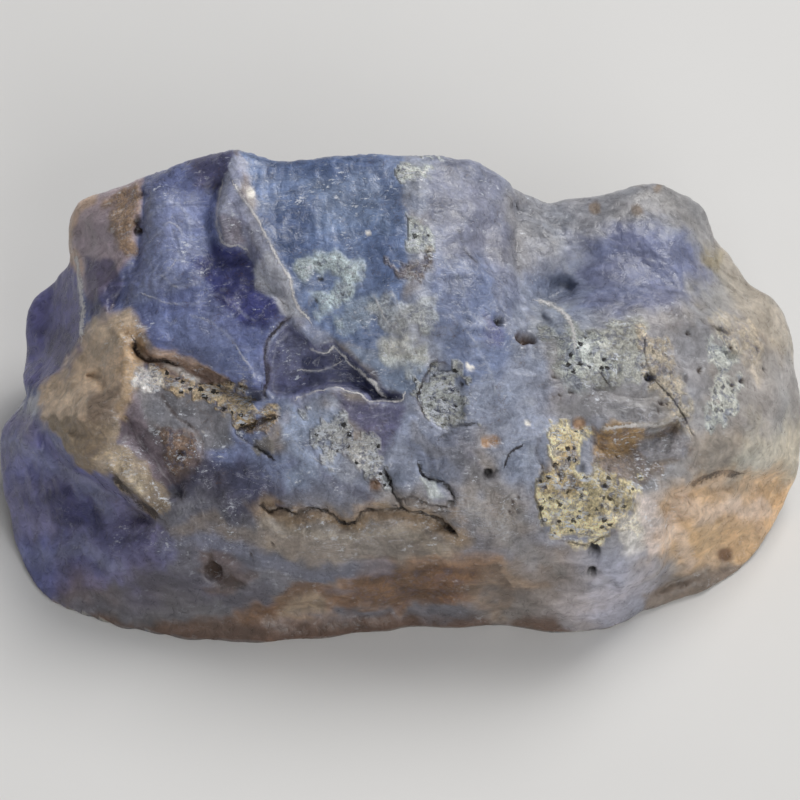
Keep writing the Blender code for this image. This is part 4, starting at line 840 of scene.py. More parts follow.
def smoothstep(value):
    """0 below 0, 1 above 1, and the smoothstep curve 3 v^2 - 2 v^3 between."""
    value = np.clip(value, 0.0, 1.0)
    return value * value * (3.0 - 2.0 * value)


def rise(value, span):
    """The smoothstep of a value over a span, given as its start and its width."""
    start, width = span
    return smoothstep((value - start) / width)


def cube_noise(points, size, seeds):
    """Smooth noise from -1 to 1, one column for each seed: random values at the corners of a grid
    of cubes this size, blended inside each cube with the smoothstep curve."""
    shape = (NOISE_TABLE,) * 3
    tables = [np.random.default_rng(seed).uniform(-1.0, 1.0, shape) for seed in seeds]
    tables = np.stack(tables, axis=-1)
    scaled = points / size + CELL_SHIFT
    cell = np.floor(scaled).astype(int)
    part = smoothstep(scaled - cell)
    total = 0.0
    for corner in np.ndindex(2, 2, 2):
        i, j, k = ((cell + corner) % NOISE_TABLE).T
        weight = np.prod(np.where(corner, part, 1.0 - part), axis=1)
        total = total + weight[:, None] * tables[i, j, k]
    return total


def rough_noise(points, size, seed, layers=4):
    """Layers of noise, each at half the size and half the strength of the one before."""
    total = 0.0
    for layer in range(layers):
        total = total + 0.5**layer * cube_noise(points, size * 0.5**layer, (seed + layer,))[:, 0]
    return total


def chips(points, size, seed):
    """Shallow bowls that meet in ridges: the squared distance to the nearest of one random place
    in each cube of a grid, from about 0 at a bowl's middle to 1 on a high rim."""
    shape = (CHIP_TABLE,) * 3 + (3,)
    table = np.random.default_rng(seed).uniform(CHIP_MARGIN, 1.0 - CHIP_MARGIN, shape)
    scaled = points / size + CELL_SHIFT
    cell = np.floor(scaled).astype(int)
    nearest = np.full(len(points), np.inf)
    for step in np.ndindex(3, 3, 3):
        index = cell + step - 1
        wrapped = index % CHIP_TABLE
        place = index + table[wrapped[:, 0], wrapped[:, 1], wrapped[:, 2]]
        nearest = np.minimum(nearest, ((scaled - place) ** 2).sum(axis=1))
    return nearest


def smooth_largest(values, blend):
    """The largest of several fields, with the edge between them rounded over about this width:
    the logarithm of the sum of their exponentials."""
    stacked = np.stack(values)
    top = stacked.max(axis=0)
    return top + blend * np.log(np.exp((stacked - top) / blend).sum(axis=0))


def curve_through(points, closed, per_span=4):
    """A Catmull-Rom curve through the points, as a denser list of points."""
    points = np.array(points, float)
    if closed:
        padded = np.concatenate([points[-1:], points, points[:2]])
    else:
        first, last = 2 * points[:1] - points[1:2], 2 * points[-1:] - points[-2:-1]
        padded = np.concatenate([first, points, last])
    t = (np.arange(per_span) / per_span)[:, None]
    spans = []
    for before, start, end, after in zip(padded, padded[1:], padded[2:], padded[3:]):
        bend = 2 * before - 5 * start + 4 * end - after
        twist = 3 * start - before - 3 * end + after
        spans.append(0.5 * (2 * start + (end - before) * t + bend * t**2 + twist * t**3))
    dense = np.concatenate(spans)
    return dense if closed else np.concatenate([dense, points[-1:]])


def line_distance(a, b, line):
    """Distance from each place to the line, and which side it is on: positive on the right-hand
    side as drawn."""
    nearest = np.full(a.shape, np.inf)
    side = np.zeros(a.shape)
    for (a0, b0), (a1, b1) in zip(line, line[1:]):
        da, db = a1 - a0, b1 - b0
        t = np.clip(((a - a0) * da + (b - b0) * db) / (da * da + db * db), 0.0, 1.0)
        distance = np.hypot(a - a0 - t * da, b - b0 - t * db)
        closer = distance < nearest
        nearest = np.where(closer, distance, nearest)
        side = np.where(closer, np.sign((a - a0) * db - (b - b0) * da), side)
    return nearest, side


def region_distance(a, b, line):
    """Signed distance to a closed line, negative inside: a place is inside where a ray from it
    crosses the line an odd number of times."""
    ring = np.concatenate([line, line[:1]])
    nearest = line_distance(a, b, ring)[0]
    inside = np.zeros(a.shape, bool)
    for (a0, b0), (a1, b1) in zip(ring, ring[1:]):
        if b0 == b1:
            continue
        crosses = (b0 > b) != (b1 > b)
        inside ^= crosses & (a < (a1 - a0) * (b - b0) / (b1 - b0) + a0)
    return np.where(inside, -nearest, nearest)


def survey_ground(a, b):
    """The rolling ground through the survey heights: a sum of rounded cones, one on each surveyed
    place, and a tilted plane."""
    places = np.array([row for rows in SURVEY.values() for row in rows])
    count = len(places)
    square = np.zeros((count + 3, count + 3))
    across = places[:, 0, None] - places[None, :, 0]
    up = places[:, 1, None] - places[None, :, 1]
    square[:count, :count] = np.hypot(np.hypot(across, up), SURVEY_ROUNDING)
    square[:count, count:] = np.column_stack([np.ones(count), places[:, :2]])
    square[count:, :count] = square[:count, count:].T
    weights = np.linalg.solve(square, np.concatenate([places[:, 2], np.zeros(3)]))
    height = weights[count] + weights[count + 1] * a + weights[count + 2] * b
    for (pa, pb, _), weight in zip(places, weights):
        height += weight * np.sqrt((a - pa) ** 2 + (b - pb) ** 2 + SURVEY_ROUNDING**2)
    return height


def end_taper(a, b, line, distance):
    """1 beside most of a line, falling to 0 round its two ends, more slowly farther out."""
    from_ends = [np.hypot(a - place[0], b - place[1]) for place in (line[0], line[-1])]
    return smoothstep((np.minimum(*from_ends) - distance) / (END_TAPER + END_SPREAD * distance))


def sink(a, b, region):
    """How far the ground is let down inside a closed line, with a sloping wall."""
    line, depth, wall = region
    inside = -region_distance(a, b, curve_through(line, True))
    return depth * smoothstep(inside / wall)


def plane_axes():
    """The drawing plane's three directions: right, up the slope, and towards the viewer."""
    slope = math.radians(SLOPE_DEG)
    return np.array([
        (1.0, 0.0, 0.0),
        (0.0, math.sin(slope), math.cos(slope)),
        (0.0, -math.cos(slope), math.sin(slope)),
    ])


def drawing_place(points):
    """Where points appear in the drawing, a and b, and their height over its plane."""
    across, up, height = ((points - PLANE_ORIGIN) @ plane_axes().T).T
    shrink = 1.0 - height / VIEW_DISTANCE
    return across / shrink, up / shrink, height


def near_line(a, b, line, margin):
    """The points within the line's own box grown by this margin."""
    low = np.min(line, axis=0) - margin
    high = np.max(line, axis=0) + margin
    return np.flatnonzero((a > low[0]) & (a < high[0]) & (b > low[1]) & (b < high[1]))


def front_detail(a, b):
    """What stands off the rolling ground: a ledge falls by a smoothstep and comes back slowly, a
    crease falls off by an exponential to each side, and a sunk region has a sloping wall."""
    height = np.zeros(a.shape)
    for places, drop, wall, reach in LEDGES.values():
        line = curve_through(places, False)
        near = near_line(a, b, line, wall + GONE_AFTER * reach)
        distance, side = line_distance(a[near], b[near], line)
        low = distance * side * np.sign(drop)
        fall = smoothstep(low / wall) * np.exp(-np.maximum(low - wall, 0.0) / reach)
        height[near] -= abs(drop) * fall * end_taper(a[near], b[near], line, distance)
    for places, lift, spread in CREASES.values():
        line = curve_through(places, False)
        near = near_line(a, b, line, GONE_AFTER * spread)
        distance = line_distance(a[near], b[near], line)[0]
        fall = np.exp(-distance / spread)
        height[near] += lift * fall * end_taper(a[near], b[near], line, distance)
    for region in SUNK.values():
        near = near_line(a, b, region[0], CURVE_STRAY)
        height[near] -= sink(a[near], b[near], region)
    return height


class Fields:
    """The rolling ground and the outline's distance on a fine grid of the drawing plane."""

    def __init__(self):
        self.a = np.arange(*FIELD_A, FIELD_STEP)
        self.b = np.arange(*FIELD_B, FIELD_STEP)
        a, b = np.meshgrid(self.a, self.b, indexing="ij")
        self.ground = survey_ground(a, b) - sink(a, b, REAR_LOBE)
        self.edge = region_distance(a, b, curve_through(OUTLINE, True))

    def read(self, field, a, b):
        """The field at any place, blended between its four grid neighbours."""
        i = np.clip((a - self.a[0]) / FIELD_STEP, 0, len(self.a) - LAST_CELL)
        j = np.clip((b - self.b[0]) / FIELD_STEP, 0, len(self.b) - LAST_CELL)
        i0, j0 = i.astype(int), j.astype(int)
        fi, fj = i - i0, j - j0
        low = field[i0, j0] * (1 - fi) + field[i0 + 1, j0] * fi
        high = field[i0, j0 + 1] * (1 - fi) + field[i0 + 1, j0 + 1] * fi
        return low * (1 - fj) + high * fj


def body_field(points, fields):
    """Below zero inside the stone, above zero outside: the largest of the front ground, the
    outline with its draft, the spare bottom, the fracture planes and the shell scars."""
    warped = points + WARP_PUSH * cube_noise(points, WARP_SIZE, seeds=(11, 12, 13))
    a, b, height = drawing_place(points)
    deep = np.maximum(DRAFT_START - height, 0.0)
    edge = fields.read(fields.edge, a, b) - RIM_GAIN + DRAFT * deep + DRAFT_CURVE * deep**2
    sides = [height - fields.read(fields.ground, a, b), edge, -SPARE_DEPTH - points[:, 2]]
    for point, normal in FRACTURES:
        sides.append((warped - point) @ (np.array(normal) / np.linalg.norm(normal)))
    for centre, radius in SCARS:
        sides.append(radius - np.linalg.norm(warped - centre, axis=1))
    return smooth_largest(sides, EDGE_BLEND)


def grid_directions():
    """Unit directions on the grid, with the poles at the stone's two ends: (sin u, cos u cos v,
    cos u sin v) in the drawing's axes. Rows are spaced between even angles and even steps along
    the stone, and columns gather on the viewer's side."""
    along = (np.arange(ROWS) + 0.5) / ROWS * 2.0 - 1.0
    u = ROW_EVENNESS * np.arcsin(along) + (1.0 - ROW_EVENNESS) * along * math.pi / 2.0
    turn = np.arange(COLUMNS) / COLUMNS * 2.0 * math.pi
    v = turn + VIEWER_GATHER * np.cos(turn)
    u, v = np.meshgrid(u, v, indexing="ij")
    local = np.stack([np.sin(u), np.cos(u) * np.cos(v), np.cos(u) * np.sin(v)], axis=-1)
    return local.reshape(-1, 3) @ plane_axes()


def ray_start(directions):
    """Where each ray starts: on a disc behind the front, nearer its edge the more it leans."""
    axes = plane_axes()
    leans = directions @ axes[:2].T * DISC_HALF
    return PLANE_ORIGIN + DISC_H * axes[2] + leans @ axes[:2]


def surface_points(fields):
    """Where each ray last leaves the stone, found to half a millimetre by steps and then closer by
    halving. The surface is chipped in shallow bowls, and a ray that goes below the table stops at
    z = 0, on the flat underside."""
    directions = grid_directions()
    start = ray_start(directions)
    steps = np.linspace(0.0, REACH, SEARCH_STEPS)
    low = np.zeros(len(directions))
    for step in steps:
        inside = body_field(start + directions * step, fields) < 0.0
        low = np.where(inside, step, low)
    high = low + steps[1]
    for _ in range(HALVINGS):
        middle = (low + high) / 2.0
        inside = body_field(start + directions * middle[:, None], fields) < 0.0
        low = np.where(inside, middle, low)
        high = np.where(inside, high, middle)
    points = start + directions * low[:, None]
    chipped = CHIP_DEPTH * (0.5 - chips(points, CHIP_SIZE, seed=21))
    chipped += SMALL_CHIP_DEPTH * (0.5 - chips(points, SMALL_CHIP_SIZE, seed=22))
    points -= directions * chipped[:, None]
    share = np.where(points[:, 2] < 0.0, start[:, 2] / (start[:, 2] - points[:, 2]), 1.0)
    return start + (points - start) * share[:, None]


def grid_normals(points):
    """Outward unit normals: the cross product of the steps round a row and along a column."""
    grid = points.reshape(ROWS, COLUMNS, 3)
    down = np.gradient(grid, axis=0)
    across = np.roll(grid, -1, axis=1) - np.roll(grid, 1, axis=1)
    normals = np.cross(across, down).reshape(-1, 3)
    return normals / np.linalg.norm(normals, axis=1, keepdims=True)


def ease_steep(points):
    """Evens out the solid's surface where it turns away from the viewer: there each point moves
    to the mean of itself, counted twice, and its two neighbours along the stone."""
    for _ in range(EASING_ROUNDS):
        facing = grid_normals(points) @ plane_axes()[2]
        away = smoothstep((EASED_FROM - facing) / EASED_WIDTH)[:, None]
        grid = points.reshape(ROWS, COLUMNS, 3)
        mean = grid.copy()
        mean[1:-1] = (grid[:-2] + 2.0 * grid[1:-1] + grid[2:]) / 4.0
        points = points + away * (mean.reshape(-1, 3) - points)
    return points


def wander(points, layers, seed):
    """How far a drawn line strays here, in a and b: layers of noise."""
    stray = 0.0
    for size, push in layers:
        stray = stray + push * cube_noise(points, size, (seed, seed + 1))
    return stray.T


def linear(colour):
    """A colour of 255 parts as linear light, by the sRGB curve."""
    value = np.array(colour) / 255.0
    return np.where(value <= 0.04045, value / 12.92, ((value + 0.055) / 1.055) ** 2.4)


class Coat:
    """What is painted at every vertex: a colour, how gritty it is, how worn it looks, the thin
    lines beside it, and how far it stands out."""

    def __init__(self, points, normals):
        self.points = points
        self.tint = np.zeros((len(points), 3))
        self.grit = np.zeros(len(points))
        self.relief = np.zeros(len(points))
        self.lines = {"crack": np.full(len(points), NO_LINE), "crack_share": np.zeros(len(points)),
                      "edge": np.full(len(points), NO_LINE), "edge_share": np.zeros(len(points))}
        self.true_a, self.true_b, _ = drawing_place(points)
        self.stray_a, self.stray_b = wander(points, COLOUR_WANDER, seed=31)
        a, b = self.true_a, self.true_b
        self.worn = np.maximum(rise(a, WORN_RIGHT), rise(-a, WORN_LEFT))
        self.worn = WORN_MOST * np.maximum(self.worn, rise(-b, WORN_FOOT))
        self.hazy = np.maximum(self.worn, REAR_MOST * (rise(b, REAR_B) * rise(a, REAR_A)))
        self.front = rise(normals @ plane_axes()[2], (-0.25, 0.5))
        streaked = np.stack([a * STREAKED[0], b * STREAKED[1], np.zeros(len(a))], axis=1)
        low_down = rise(-b, LOW_DOWN)
        self.speckle = rough_noise(points, SPECKLE_SIZE, seed=41, layers=3) * (1.0 - low_down)
        self.speckle += rough_noise(streaked, SPECKLE_SIZE, seed=45, layers=3) * low_down

    def strayed(self, share):
        """The places a and b, strayed by this share of the colours' wander."""
        return self.true_a + share * self.stray_a, self.true_b + share * self.stray_b

    def keep_line(self, kind, near, offset, strength):
        """Keeps how far each point is to the left or right of a thin line, in half widths, where
        that is nearer than the line kept before, and how strongly it shows."""
        closer = np.abs(offset) < np.abs(self.lines[kind][near])
        self.lines[kind][near] = np.where(closer, offset, self.lines[kind][near])
        share = strength * smoothstep(LINE_HALO - np.abs(offset)) * self.front[near]
        shown = self.lines[kind + "_share"]
        shown[near] = np.where(closer, share, shown[near])

    def lay(self, near, share, colour, grit=None):
        """Mixes a colour in, and where given its grit, by this share."""
        share = share * self.front[near]
        self.tint[near] += share[:, None] * (linear(colour) - self.tint[near])
        if grit is not None:
            self.grit[near] += share * (grit - self.grit[near])


def base_coat(coat):
    """The colours under everything, also on the hidden sides: plum blue at the left through grey
    blue to a warm grey right end, with cloudy patches, tan stain low down and in scattered
    patches, and crust in places."""
    cloud_size, stain_size, crust_size = 5.0, 4.0, 2.6
    blue_end, blue_width, warm_start, warm_width = 14.0, 14.0, 6.0, 10.0
    plum_share, plum_start, plum_width = 0.7, 4.0, 12.0
    stain_share, stained_below, crust_share, crust_in_front = 0.75, 3.0, 0.8, 0.2
    points = coat.points
    clouds = rough_noise(points, cloud_size, seed=51)
    a = coat.strayed(1.0)[0][:, None]
    left, middle, right = linear(FACET_BLUE), linear(BLUE_GREY), linear(WARM_GREY)
    tint = left + smoothstep((a + blue_end) / blue_width) * (middle - left)
    warm = smoothstep((a - warm_start + 2.0 * clouds[:, None]) / warm_width)
    tint = tint + warm * (right - tint)
    dark = smoothstep(clouds * 1.6)[:, None] * smoothstep((plum_start - a) / plum_width)
    tint = tint + plum_share * dark * (linear(PLUM) - tint)
    stain = smoothstep(rough_noise(points, stain_size, seed=61) * 1.8 - 0.2)
    stain = np.maximum(stain, smoothstep(1.0 - points[:, 2] / stained_below)) * stain_share
    tint = tint + stain[:, None] * (linear(BELLY_TAN) - tint)
    crust = smoothstep(rough_noise(points, crust_size, seed=71) * 3.0 - 1.3)
    crust = crust * (1.0 - (1.0 - crust_in_front) * coat.front)
    coat.tint = tint + crust_share * crust[:, None] * (linear(CRUST_GREY) - tint)
    coat.grit = 0.15 * stain + crust_share * crust


def paint_areas(coat):
    """Lays each area's colour inside its closed line, half laid at the line itself. A soft area
    strays farther from its line, and a gritty one is broken up."""
    stray_share, most_stray, grit_sharpens = 1.9, 2.2, 0.5
    for colour, strength, soft, grit, line in AREAS:
        a, b = coat.strayed(min(most_stray, stray_share * soft))
        near = near_line(a, b, line, soft + grit)
        inside = region_distance(a[near], b[near], np.array(line))
        ragged = inside + grit * GRIT_RAGGED * coat.speckle[near]
        edge = soft * (1.0 - grit_sharpens * grit)
        share = smoothstep(0.5 - ragged / edge) * strength
        coat.lay(near, share, colour, grit)


def mottle(coat):
    """Uneven depth of colour, and a drift between warmer and cooler."""
    warmer = np.array((1.0, 0.1, -0.8))
    depth = 0.1 * rough_noise(coat.points, 1.8, seed=101)
    drift = 0.05 * rough_noise(coat.points, 2.6, seed=105, layers=3)
    coat.tint *= 1.0 + depth[:, None] + drift[:, None] * warmer


def paint_strokes(coat):
    """Draws each stroke with a soft edge and gaps, and cuts or raises it. A thin stroke is laid
    faintly, and its line is kept for the material to draw sharply."""
    outer, least_reach, gap_start, gap_rate = 1.4, 0.03, 1.5, 2.2
    for colour, strength, half, broken, depth, places in STROKES:
        thin = half < THIN_STROKE
        line = curve_through(places, False)
        a, b = coat.strayed(THIN_STRAY if thin else 1.0)
        near = near_line(a, b, line, 4.0 * half)
        distance, side = line_distance(a[near], b[near], line)
        reach = half * (1.0 + broken * coat.speckle[near])
        share = smoothstep(outer - distance / np.maximum(reach, least_reach))
        coat.lay(near, share * strength * (THIN_FAINT if thin else 1.0), colour)
        coat.relief[near] -= depth * share * coat.front[near]
        if thin:
            kind = "edge" if sum(colour) > sum(FLAT_GREY) else "crack"
            gaps = smoothstep(gap_start - gap_rate * broken * (1.0 + coat.speckle[near]))
            coat.keep_line(kind, near, side * distance / half, strength * gaps)


def paint_spots(coat):
    """Dots and pits: a spot is full in its middle and gone a third of its radius outside it."""
    gone_at, fade, raggedness, strength = 1.35, 0.7, 0.25, 0.95
    strayed_a, strayed_b = coat.strayed(1.0)
    for colour, depth, places in SPOTS:
        for a, b, radius in places:
            near = near_line(strayed_a, strayed_b, ((a, b), (a, b)), 1.5 * radius)
            distance = np.hypot(coat.true_a[near] - a, coat.true_b[near] - b)
            ragged = radius * (1.0 + raggedness * coat.speckle[near])
            share = smoothstep((gone_at - distance / ragged) / fade)
            coat.lay(near, strength * share, colour)
            coat.relief[near] -= depth * share * coat.front[near]


def surface_relief(coat):
    """Fine unevenness: small chips everywhere, gentle waves, granular crust, and little terraces
    where a rolling noise passes each whole number."""
    points = coat.points
    rough = SMOOTH_SHARE + (1.0 - SMOOTH_SHARE) * coat.grit
    relief = FINE_CHIP_RELIEF * (chips(points, FINE_CHIP_SIZE, seed=23) - 0.5) * rough
    relief += WAVE_RELIEF * rough_noise(points, WAVE_SIZE, seed=81)
    relief += CRUST_RELIEF * coat.grit * rough_noise(points, CRUST_SIZE, seed=91, layers=2)
    level = TERRACE_COUNT * rough_noise(points, TERRACE_SIZE, seed=111, layers=3)
    stepped = np.floor(level) + smoothstep((level - np.floor(level)) * TERRACE_WALL)
    relief += TERRACE_RELIEF * (stepped - level) * (1.0 - TERRACE_WEAR * coat.worn)
    return relief


def stone_grid(fields):
    """The stone's points and paint: the solid's surface, eased where it is steep, the ledges,
    creases and sunk regions pushed along the line of sight, then relief pushed along the normals,
    never below z = 0."""
    points = ease_steep(surface_points(fields))
    stray_a, stray_b = wander(points, LINE_WANDER, seed=35)
    a, b, height = drawing_place(points)
    depth = fields.read(fields.ground, a, b) - height
    facing = smoothstep(FRONT_DEPTH - depth)
    facing = facing * smoothstep(-fields.read(fields.edge, a, b) / RIM_FADE)
    detail = front_detail(a + stray_a, b + stray_b) * facing
    points += detail[:, None] * plane_axes()[2]
    normals = grid_normals(points)
    coat = Coat(points, normals)
    base_coat(coat)
    paint_areas(coat)
    mottle(coat)
    paint_strokes(coat)
    paint_spots(coat)
    lift = surface_relief(coat) + coat.relief
    raised = smoothstep(points[:, 2] / TABLE_FADE)
    points = points + normals * (lift * raised)[:, None]
    points[:, 2] = np.maximum(points[:, 2], 0.0)
    return points, coat


def grid_faces():
    """Quads between neighbouring rows and columns, and a fan at each end."""
    row, column = np.meshgrid(np.arange(ROWS - 1), np.arange(COLUMNS), indexing="ij")
    following = (column + 1) % COLUMNS
    quads = np.stack([row * COLUMNS + column, row * COLUMNS + following,
                      (row + 1) * COLUMNS + following, (row + 1) * COLUMNS + column], axis=-1)
    ring = np.arange(COLUMNS)
    ahead = (ring + 1) % COLUMNS
    last = (ROWS - 1) * COLUMNS
    first_pole = np.full(COLUMNS, ROWS * COLUMNS)
    first_fan = np.stack([first_pole, ahead, ring], axis=-1)
    last_fan = np.stack([first_pole + 1, last + ring, last + ahead], axis=-1)
    return quads.reshape(-1, 4), np.concatenate([first_fan, last_fan])


def build_stone():
    """The whole stone as one closed mesh, in metres, with its colour, grit, wear and thin lines as
    attributes."""
    points, coat = stone_grid(Fields())
    ends = np.stack([points[:COLUMNS].mean(axis=0), points[-COLUMNS:].mean(axis=0)])
    points = (np.concatenate([points, ends]) + SETTLE) * MM
    tint = np.concatenate([coat.tint, coat.tint[[0, -1]]])
    quads, fans = grid_faces()
    mesh = bpy.data.meshes.new("agate_stone")
    mesh.from_pydata(points, [], quads.tolist() + fans.tolist())
    mesh.shade_smooth()
    colours = mesh.attributes.new("tint", "FLOAT_COLOR", "POINT")
    colours.data.foreach_set("color", np.column_stack([tint, np.ones(len(tint))]).ravel())
    for name, values in {"grit": coat.grit, "worn": coat.hazy, **coat.lines}.items():
        attribute = mesh.attributes.new(name, "FLOAT", "POINT")
        attribute.data.foreach_set("value", np.concatenate([values, values[[0, -1]]]))
    stone = bpy.data.objects.new("agate_stone", mesh)
    bpy.context.scene.collection.objects.link(stone)
    return stone


class Nodes:
    """Short calls for adding and joining a material's nodes."""

    def __init__(self, name):
        self.material = bpy.data.materials.new(name)
        self.material.use_nodes = True
        self.tree = self.material.node_tree
        self.shader = self.tree.nodes["Principled BSDF"]

    def add(self, kind, links=(), **values):
        """Adds a node, sets its properties and plain inputs, and joins its linked inputs."""
        node = self.tree.nodes.new(kind)
        for key, value in values.items():
            setattr(node, key, value)
        for socket, source in dict(links).items():
            if isinstance(source, bpy.types.NodeSocket):
                self.tree.links.new(source, node.inputs[socket])
            else:
                node.inputs[socket].default_value = source
        return node

    def math(self, operation, first, second=0.0):
        """One step of arithmetic."""
        return self.add("ShaderNodeMath", {0: first, 1: second}, operation=operation).outputs[0]

    def times(self, first, *factors):
        """A product, multiplied from the left."""
        for factor in factors:
            first = self.math("MULTIPLY", first, factor)
        return first

    def plus(self, first, second):
        """A sum."""
        return self.math("ADD", first, second)

    def ramp(self, value, low, high, low_out, high_out):
        """A value carried smoothly from one range to another."""
        node = self.add("ShaderNodeMapRange", {0: value, 1: low, 2: high, 3: low_out, 4: high_out},
                        interpolation_type="SMOOTHSTEP")
        return node.outputs[0]

    def grade(self, value, name):
        """A value graded as the table of grades says."""
        return self.ramp(value, *GRADES[name])

    def swing(self, value, reach, share):
        """A factor about one that follows a pattern, by its full reach where the share is one."""
        return self.plus(self.times(self.ramp(value, 0.3, 0.7, -reach, reach), share), 1.0)

    def mix(self, share, first, second, blend="MIX"):
        """Two colours mixed."""
        node = self.add("ShaderNodeMix", {0: share, 6: first, 7: second}, data_type="RGBA",
                        blend_type=blend)
        return node.outputs[2]

    def paint(self, share, colour, paint):
        """A named paint laid over a colour by this share."""
        return self.mix(share, colour, (*linear(paint), 1.0))

    def noise(self, place, scale, detail, roughness, distortion):
        """A layered noise."""
        links = {"Vector": place, "Scale": scale, "Detail": detail, "Roughness": roughness,
                 "Distortion": distortion}
        return self.add("ShaderNodeTexNoise", links).outputs["Fac"]

    def stretched(self, place, **turns):
        """A place turned or scaled, which draws a pattern out."""
        return self.add("ShaderNodeMapping", {"Vector": place, **turns}).outputs[0]

    def attribute(self, name, socket="Fac"):
        """What is kept at the vertices under this name."""
        return self.add("ShaderNodeAttribute", attribute_name=name).outputs[socket]


def line_between(nodes, value, grade):
    """A thin line where a noise crosses its middle value."""
    off_middle = nodes.math("ABSOLUTE", nodes.math("SUBTRACT", value, 0.5))
    return nodes.grade(off_middle, grade)


def cloudy_depth(nodes, place, grain, tint, worn):
    """The colour seen through waxy stone: clouds, smoky veils drawn out along the stone, a fine
    mottle, faint agate bands, and in patches pale threads and dark hairline cracks."""
    clouds = nodes.noise(place, *CLOUDS)
    fine = nodes.noise(place, *MOTTLE)
    veils = nodes.noise(nodes.stretched(place, Scale=(0.35, 1.1, 1.1)), *VEILS)
    crisp = nodes.grade(worn, "crisp where unworn")
    shade = nodes.times(nodes.grade(clouds, "cloud shade"), nodes.grade(fine, "mottle shade"),
                        nodes.grade(veils, "veil shade"), nodes.swing(grain, GRAIN_SWING, crisp))
    bands = nodes.math("SINE", nodes.times(nodes.noise(place, *BANDING), BAND_COUNT))
    bands = nodes.times(nodes.grade(bands, "band shade"), nodes.grade(clouds, "band patches"))
    shade = nodes.plus(shade, nodes.times(bands, crisp))
    colour = nodes.mix(1.0, tint, shade, "MULTIPLY")
    threads = nodes.times(line_between(nodes, veils, "pale threads"),
                          nodes.grade(clouds, "thread patches"), crisp)
    colour = nodes.paint(threads, colour, PALE)
    crack = nodes.times(line_between(nodes, nodes.noise(place, *HAIRLINES), "hairline"),
                        nodes.grade(clouds, "hairline patches"), crisp)
    return nodes.paint(crack, colour, UMBER), fine


def drawn_line(nodes, grain, name):
    """A sharp line along a thin stroke, a little jagged, from the offset kept at each vertex."""
    jagged = nodes.plus(nodes.attribute(name), nodes.grade(grain, "jagged line"))
    distance = nodes.math("ABSOLUTE", jagged)
    return nodes.times(nodes.grade(distance, "line's edge"), nodes.attribute(name + "_share"))


def flecks_and_glints(nodes, place, grain, colour, grit, worn):
    """Small slanting chips of white, scattered in patches and thickest on crust, with painted
    glints as white pinpoints, and dark pinpoints between them."""
    grit_adds, grit_lifts, slim = 0.9, 0.05, (1.0, 2.4, 1.4)
    patches = nodes.grade(nodes.noise(place, *FLECK_PATCHES), "fleck patches")
    patches = nodes.plus(patches, nodes.times(grit, grit_adds))
    patches = nodes.times(patches, nodes.grade(worn, "fewer flecks where worn"))
    # White pinpoints: painted glints of light on the frosty surface.
    share = nodes.times(nodes.grade(grain, "painted glints"), patches)
    for scale, turn in SLANTED_FLECKS:
        slanted = nodes.stretched(place, Rotation=(0.3, turn, turn), Scale=slim)
        drift = nodes.plus(nodes.noise(slanted, scale, *FLECK_DETAIL, 0.0),
                           nodes.times(grit, grit_lifts))
        fleck = nodes.times(nodes.grade(drift, "fleck"), patches)
        share = nodes.math("MAXIMUM", share, fleck)
    colour = nodes.paint(share, colour, FROST_WHITE)
    pinpoints = nodes.times(nodes.grade(grain, "dark pinpoints"), patches)
    return nodes.paint(pinpoints, colour, UMBER)


def crusty_grain(nodes, place, grain, colour, grit):
    """Crust: lumps of uneven tone with blue stone between them, fine grain, and black pinprick
    pores."""
    grit_picks = 0.3
    lumps = nodes.noise(place, *CRUST_LUMPS)
    shade = nodes.times(nodes.grade(lumps, "lump shade"), nodes.grade(grain, "crust grain"))
    share = nodes.grade(grit, "crust cover")
    bare = nodes.times(nodes.grade(lumps, "bare stone"), share)
    colour = nodes.paint(bare, colour, SLATE_BLUE)
    colour = nodes.mix(share, colour, nodes.mix(1.0, colour, shade, "MULTIPLY"))
    pores = nodes.add("ShaderNodeTexVoronoi", {"Vector": place, "Scale": PORE_SCALE})
    picked = nodes.add("ShaderNodeSeparateColor", {0: pores.outputs["Color"]}).outputs[1]
    picked = nodes.grade(nodes.plus(picked, nodes.times(grit, grit_picks)), "picked pores")
    ragged = nodes.plus(pores.outputs["Distance"], nodes.grade(grain, "ragged pore"))
    dots = nodes.times(picked, nodes.grade(ragged, "pore"), nodes.grade(grit, "pore cover"))
    return nodes.paint(dots, colour, BLACK), nodes.times(shade, share)


def stone_height(nodes, fine, crust_height, edge, crack):
    """The height that the bump shows: mottle, crust, raised edges and cut cracks."""
    mottle_height, crust_share, edge_height = 0.6, 0.9, 0.5
    height = nodes.plus(nodes.times(fine, mottle_height), nodes.times(crust_height, crust_share))
    lines = nodes.math("SUBTRACT", nodes.times(edge, edge_height), crack)
    return nodes.plus(height, lines)


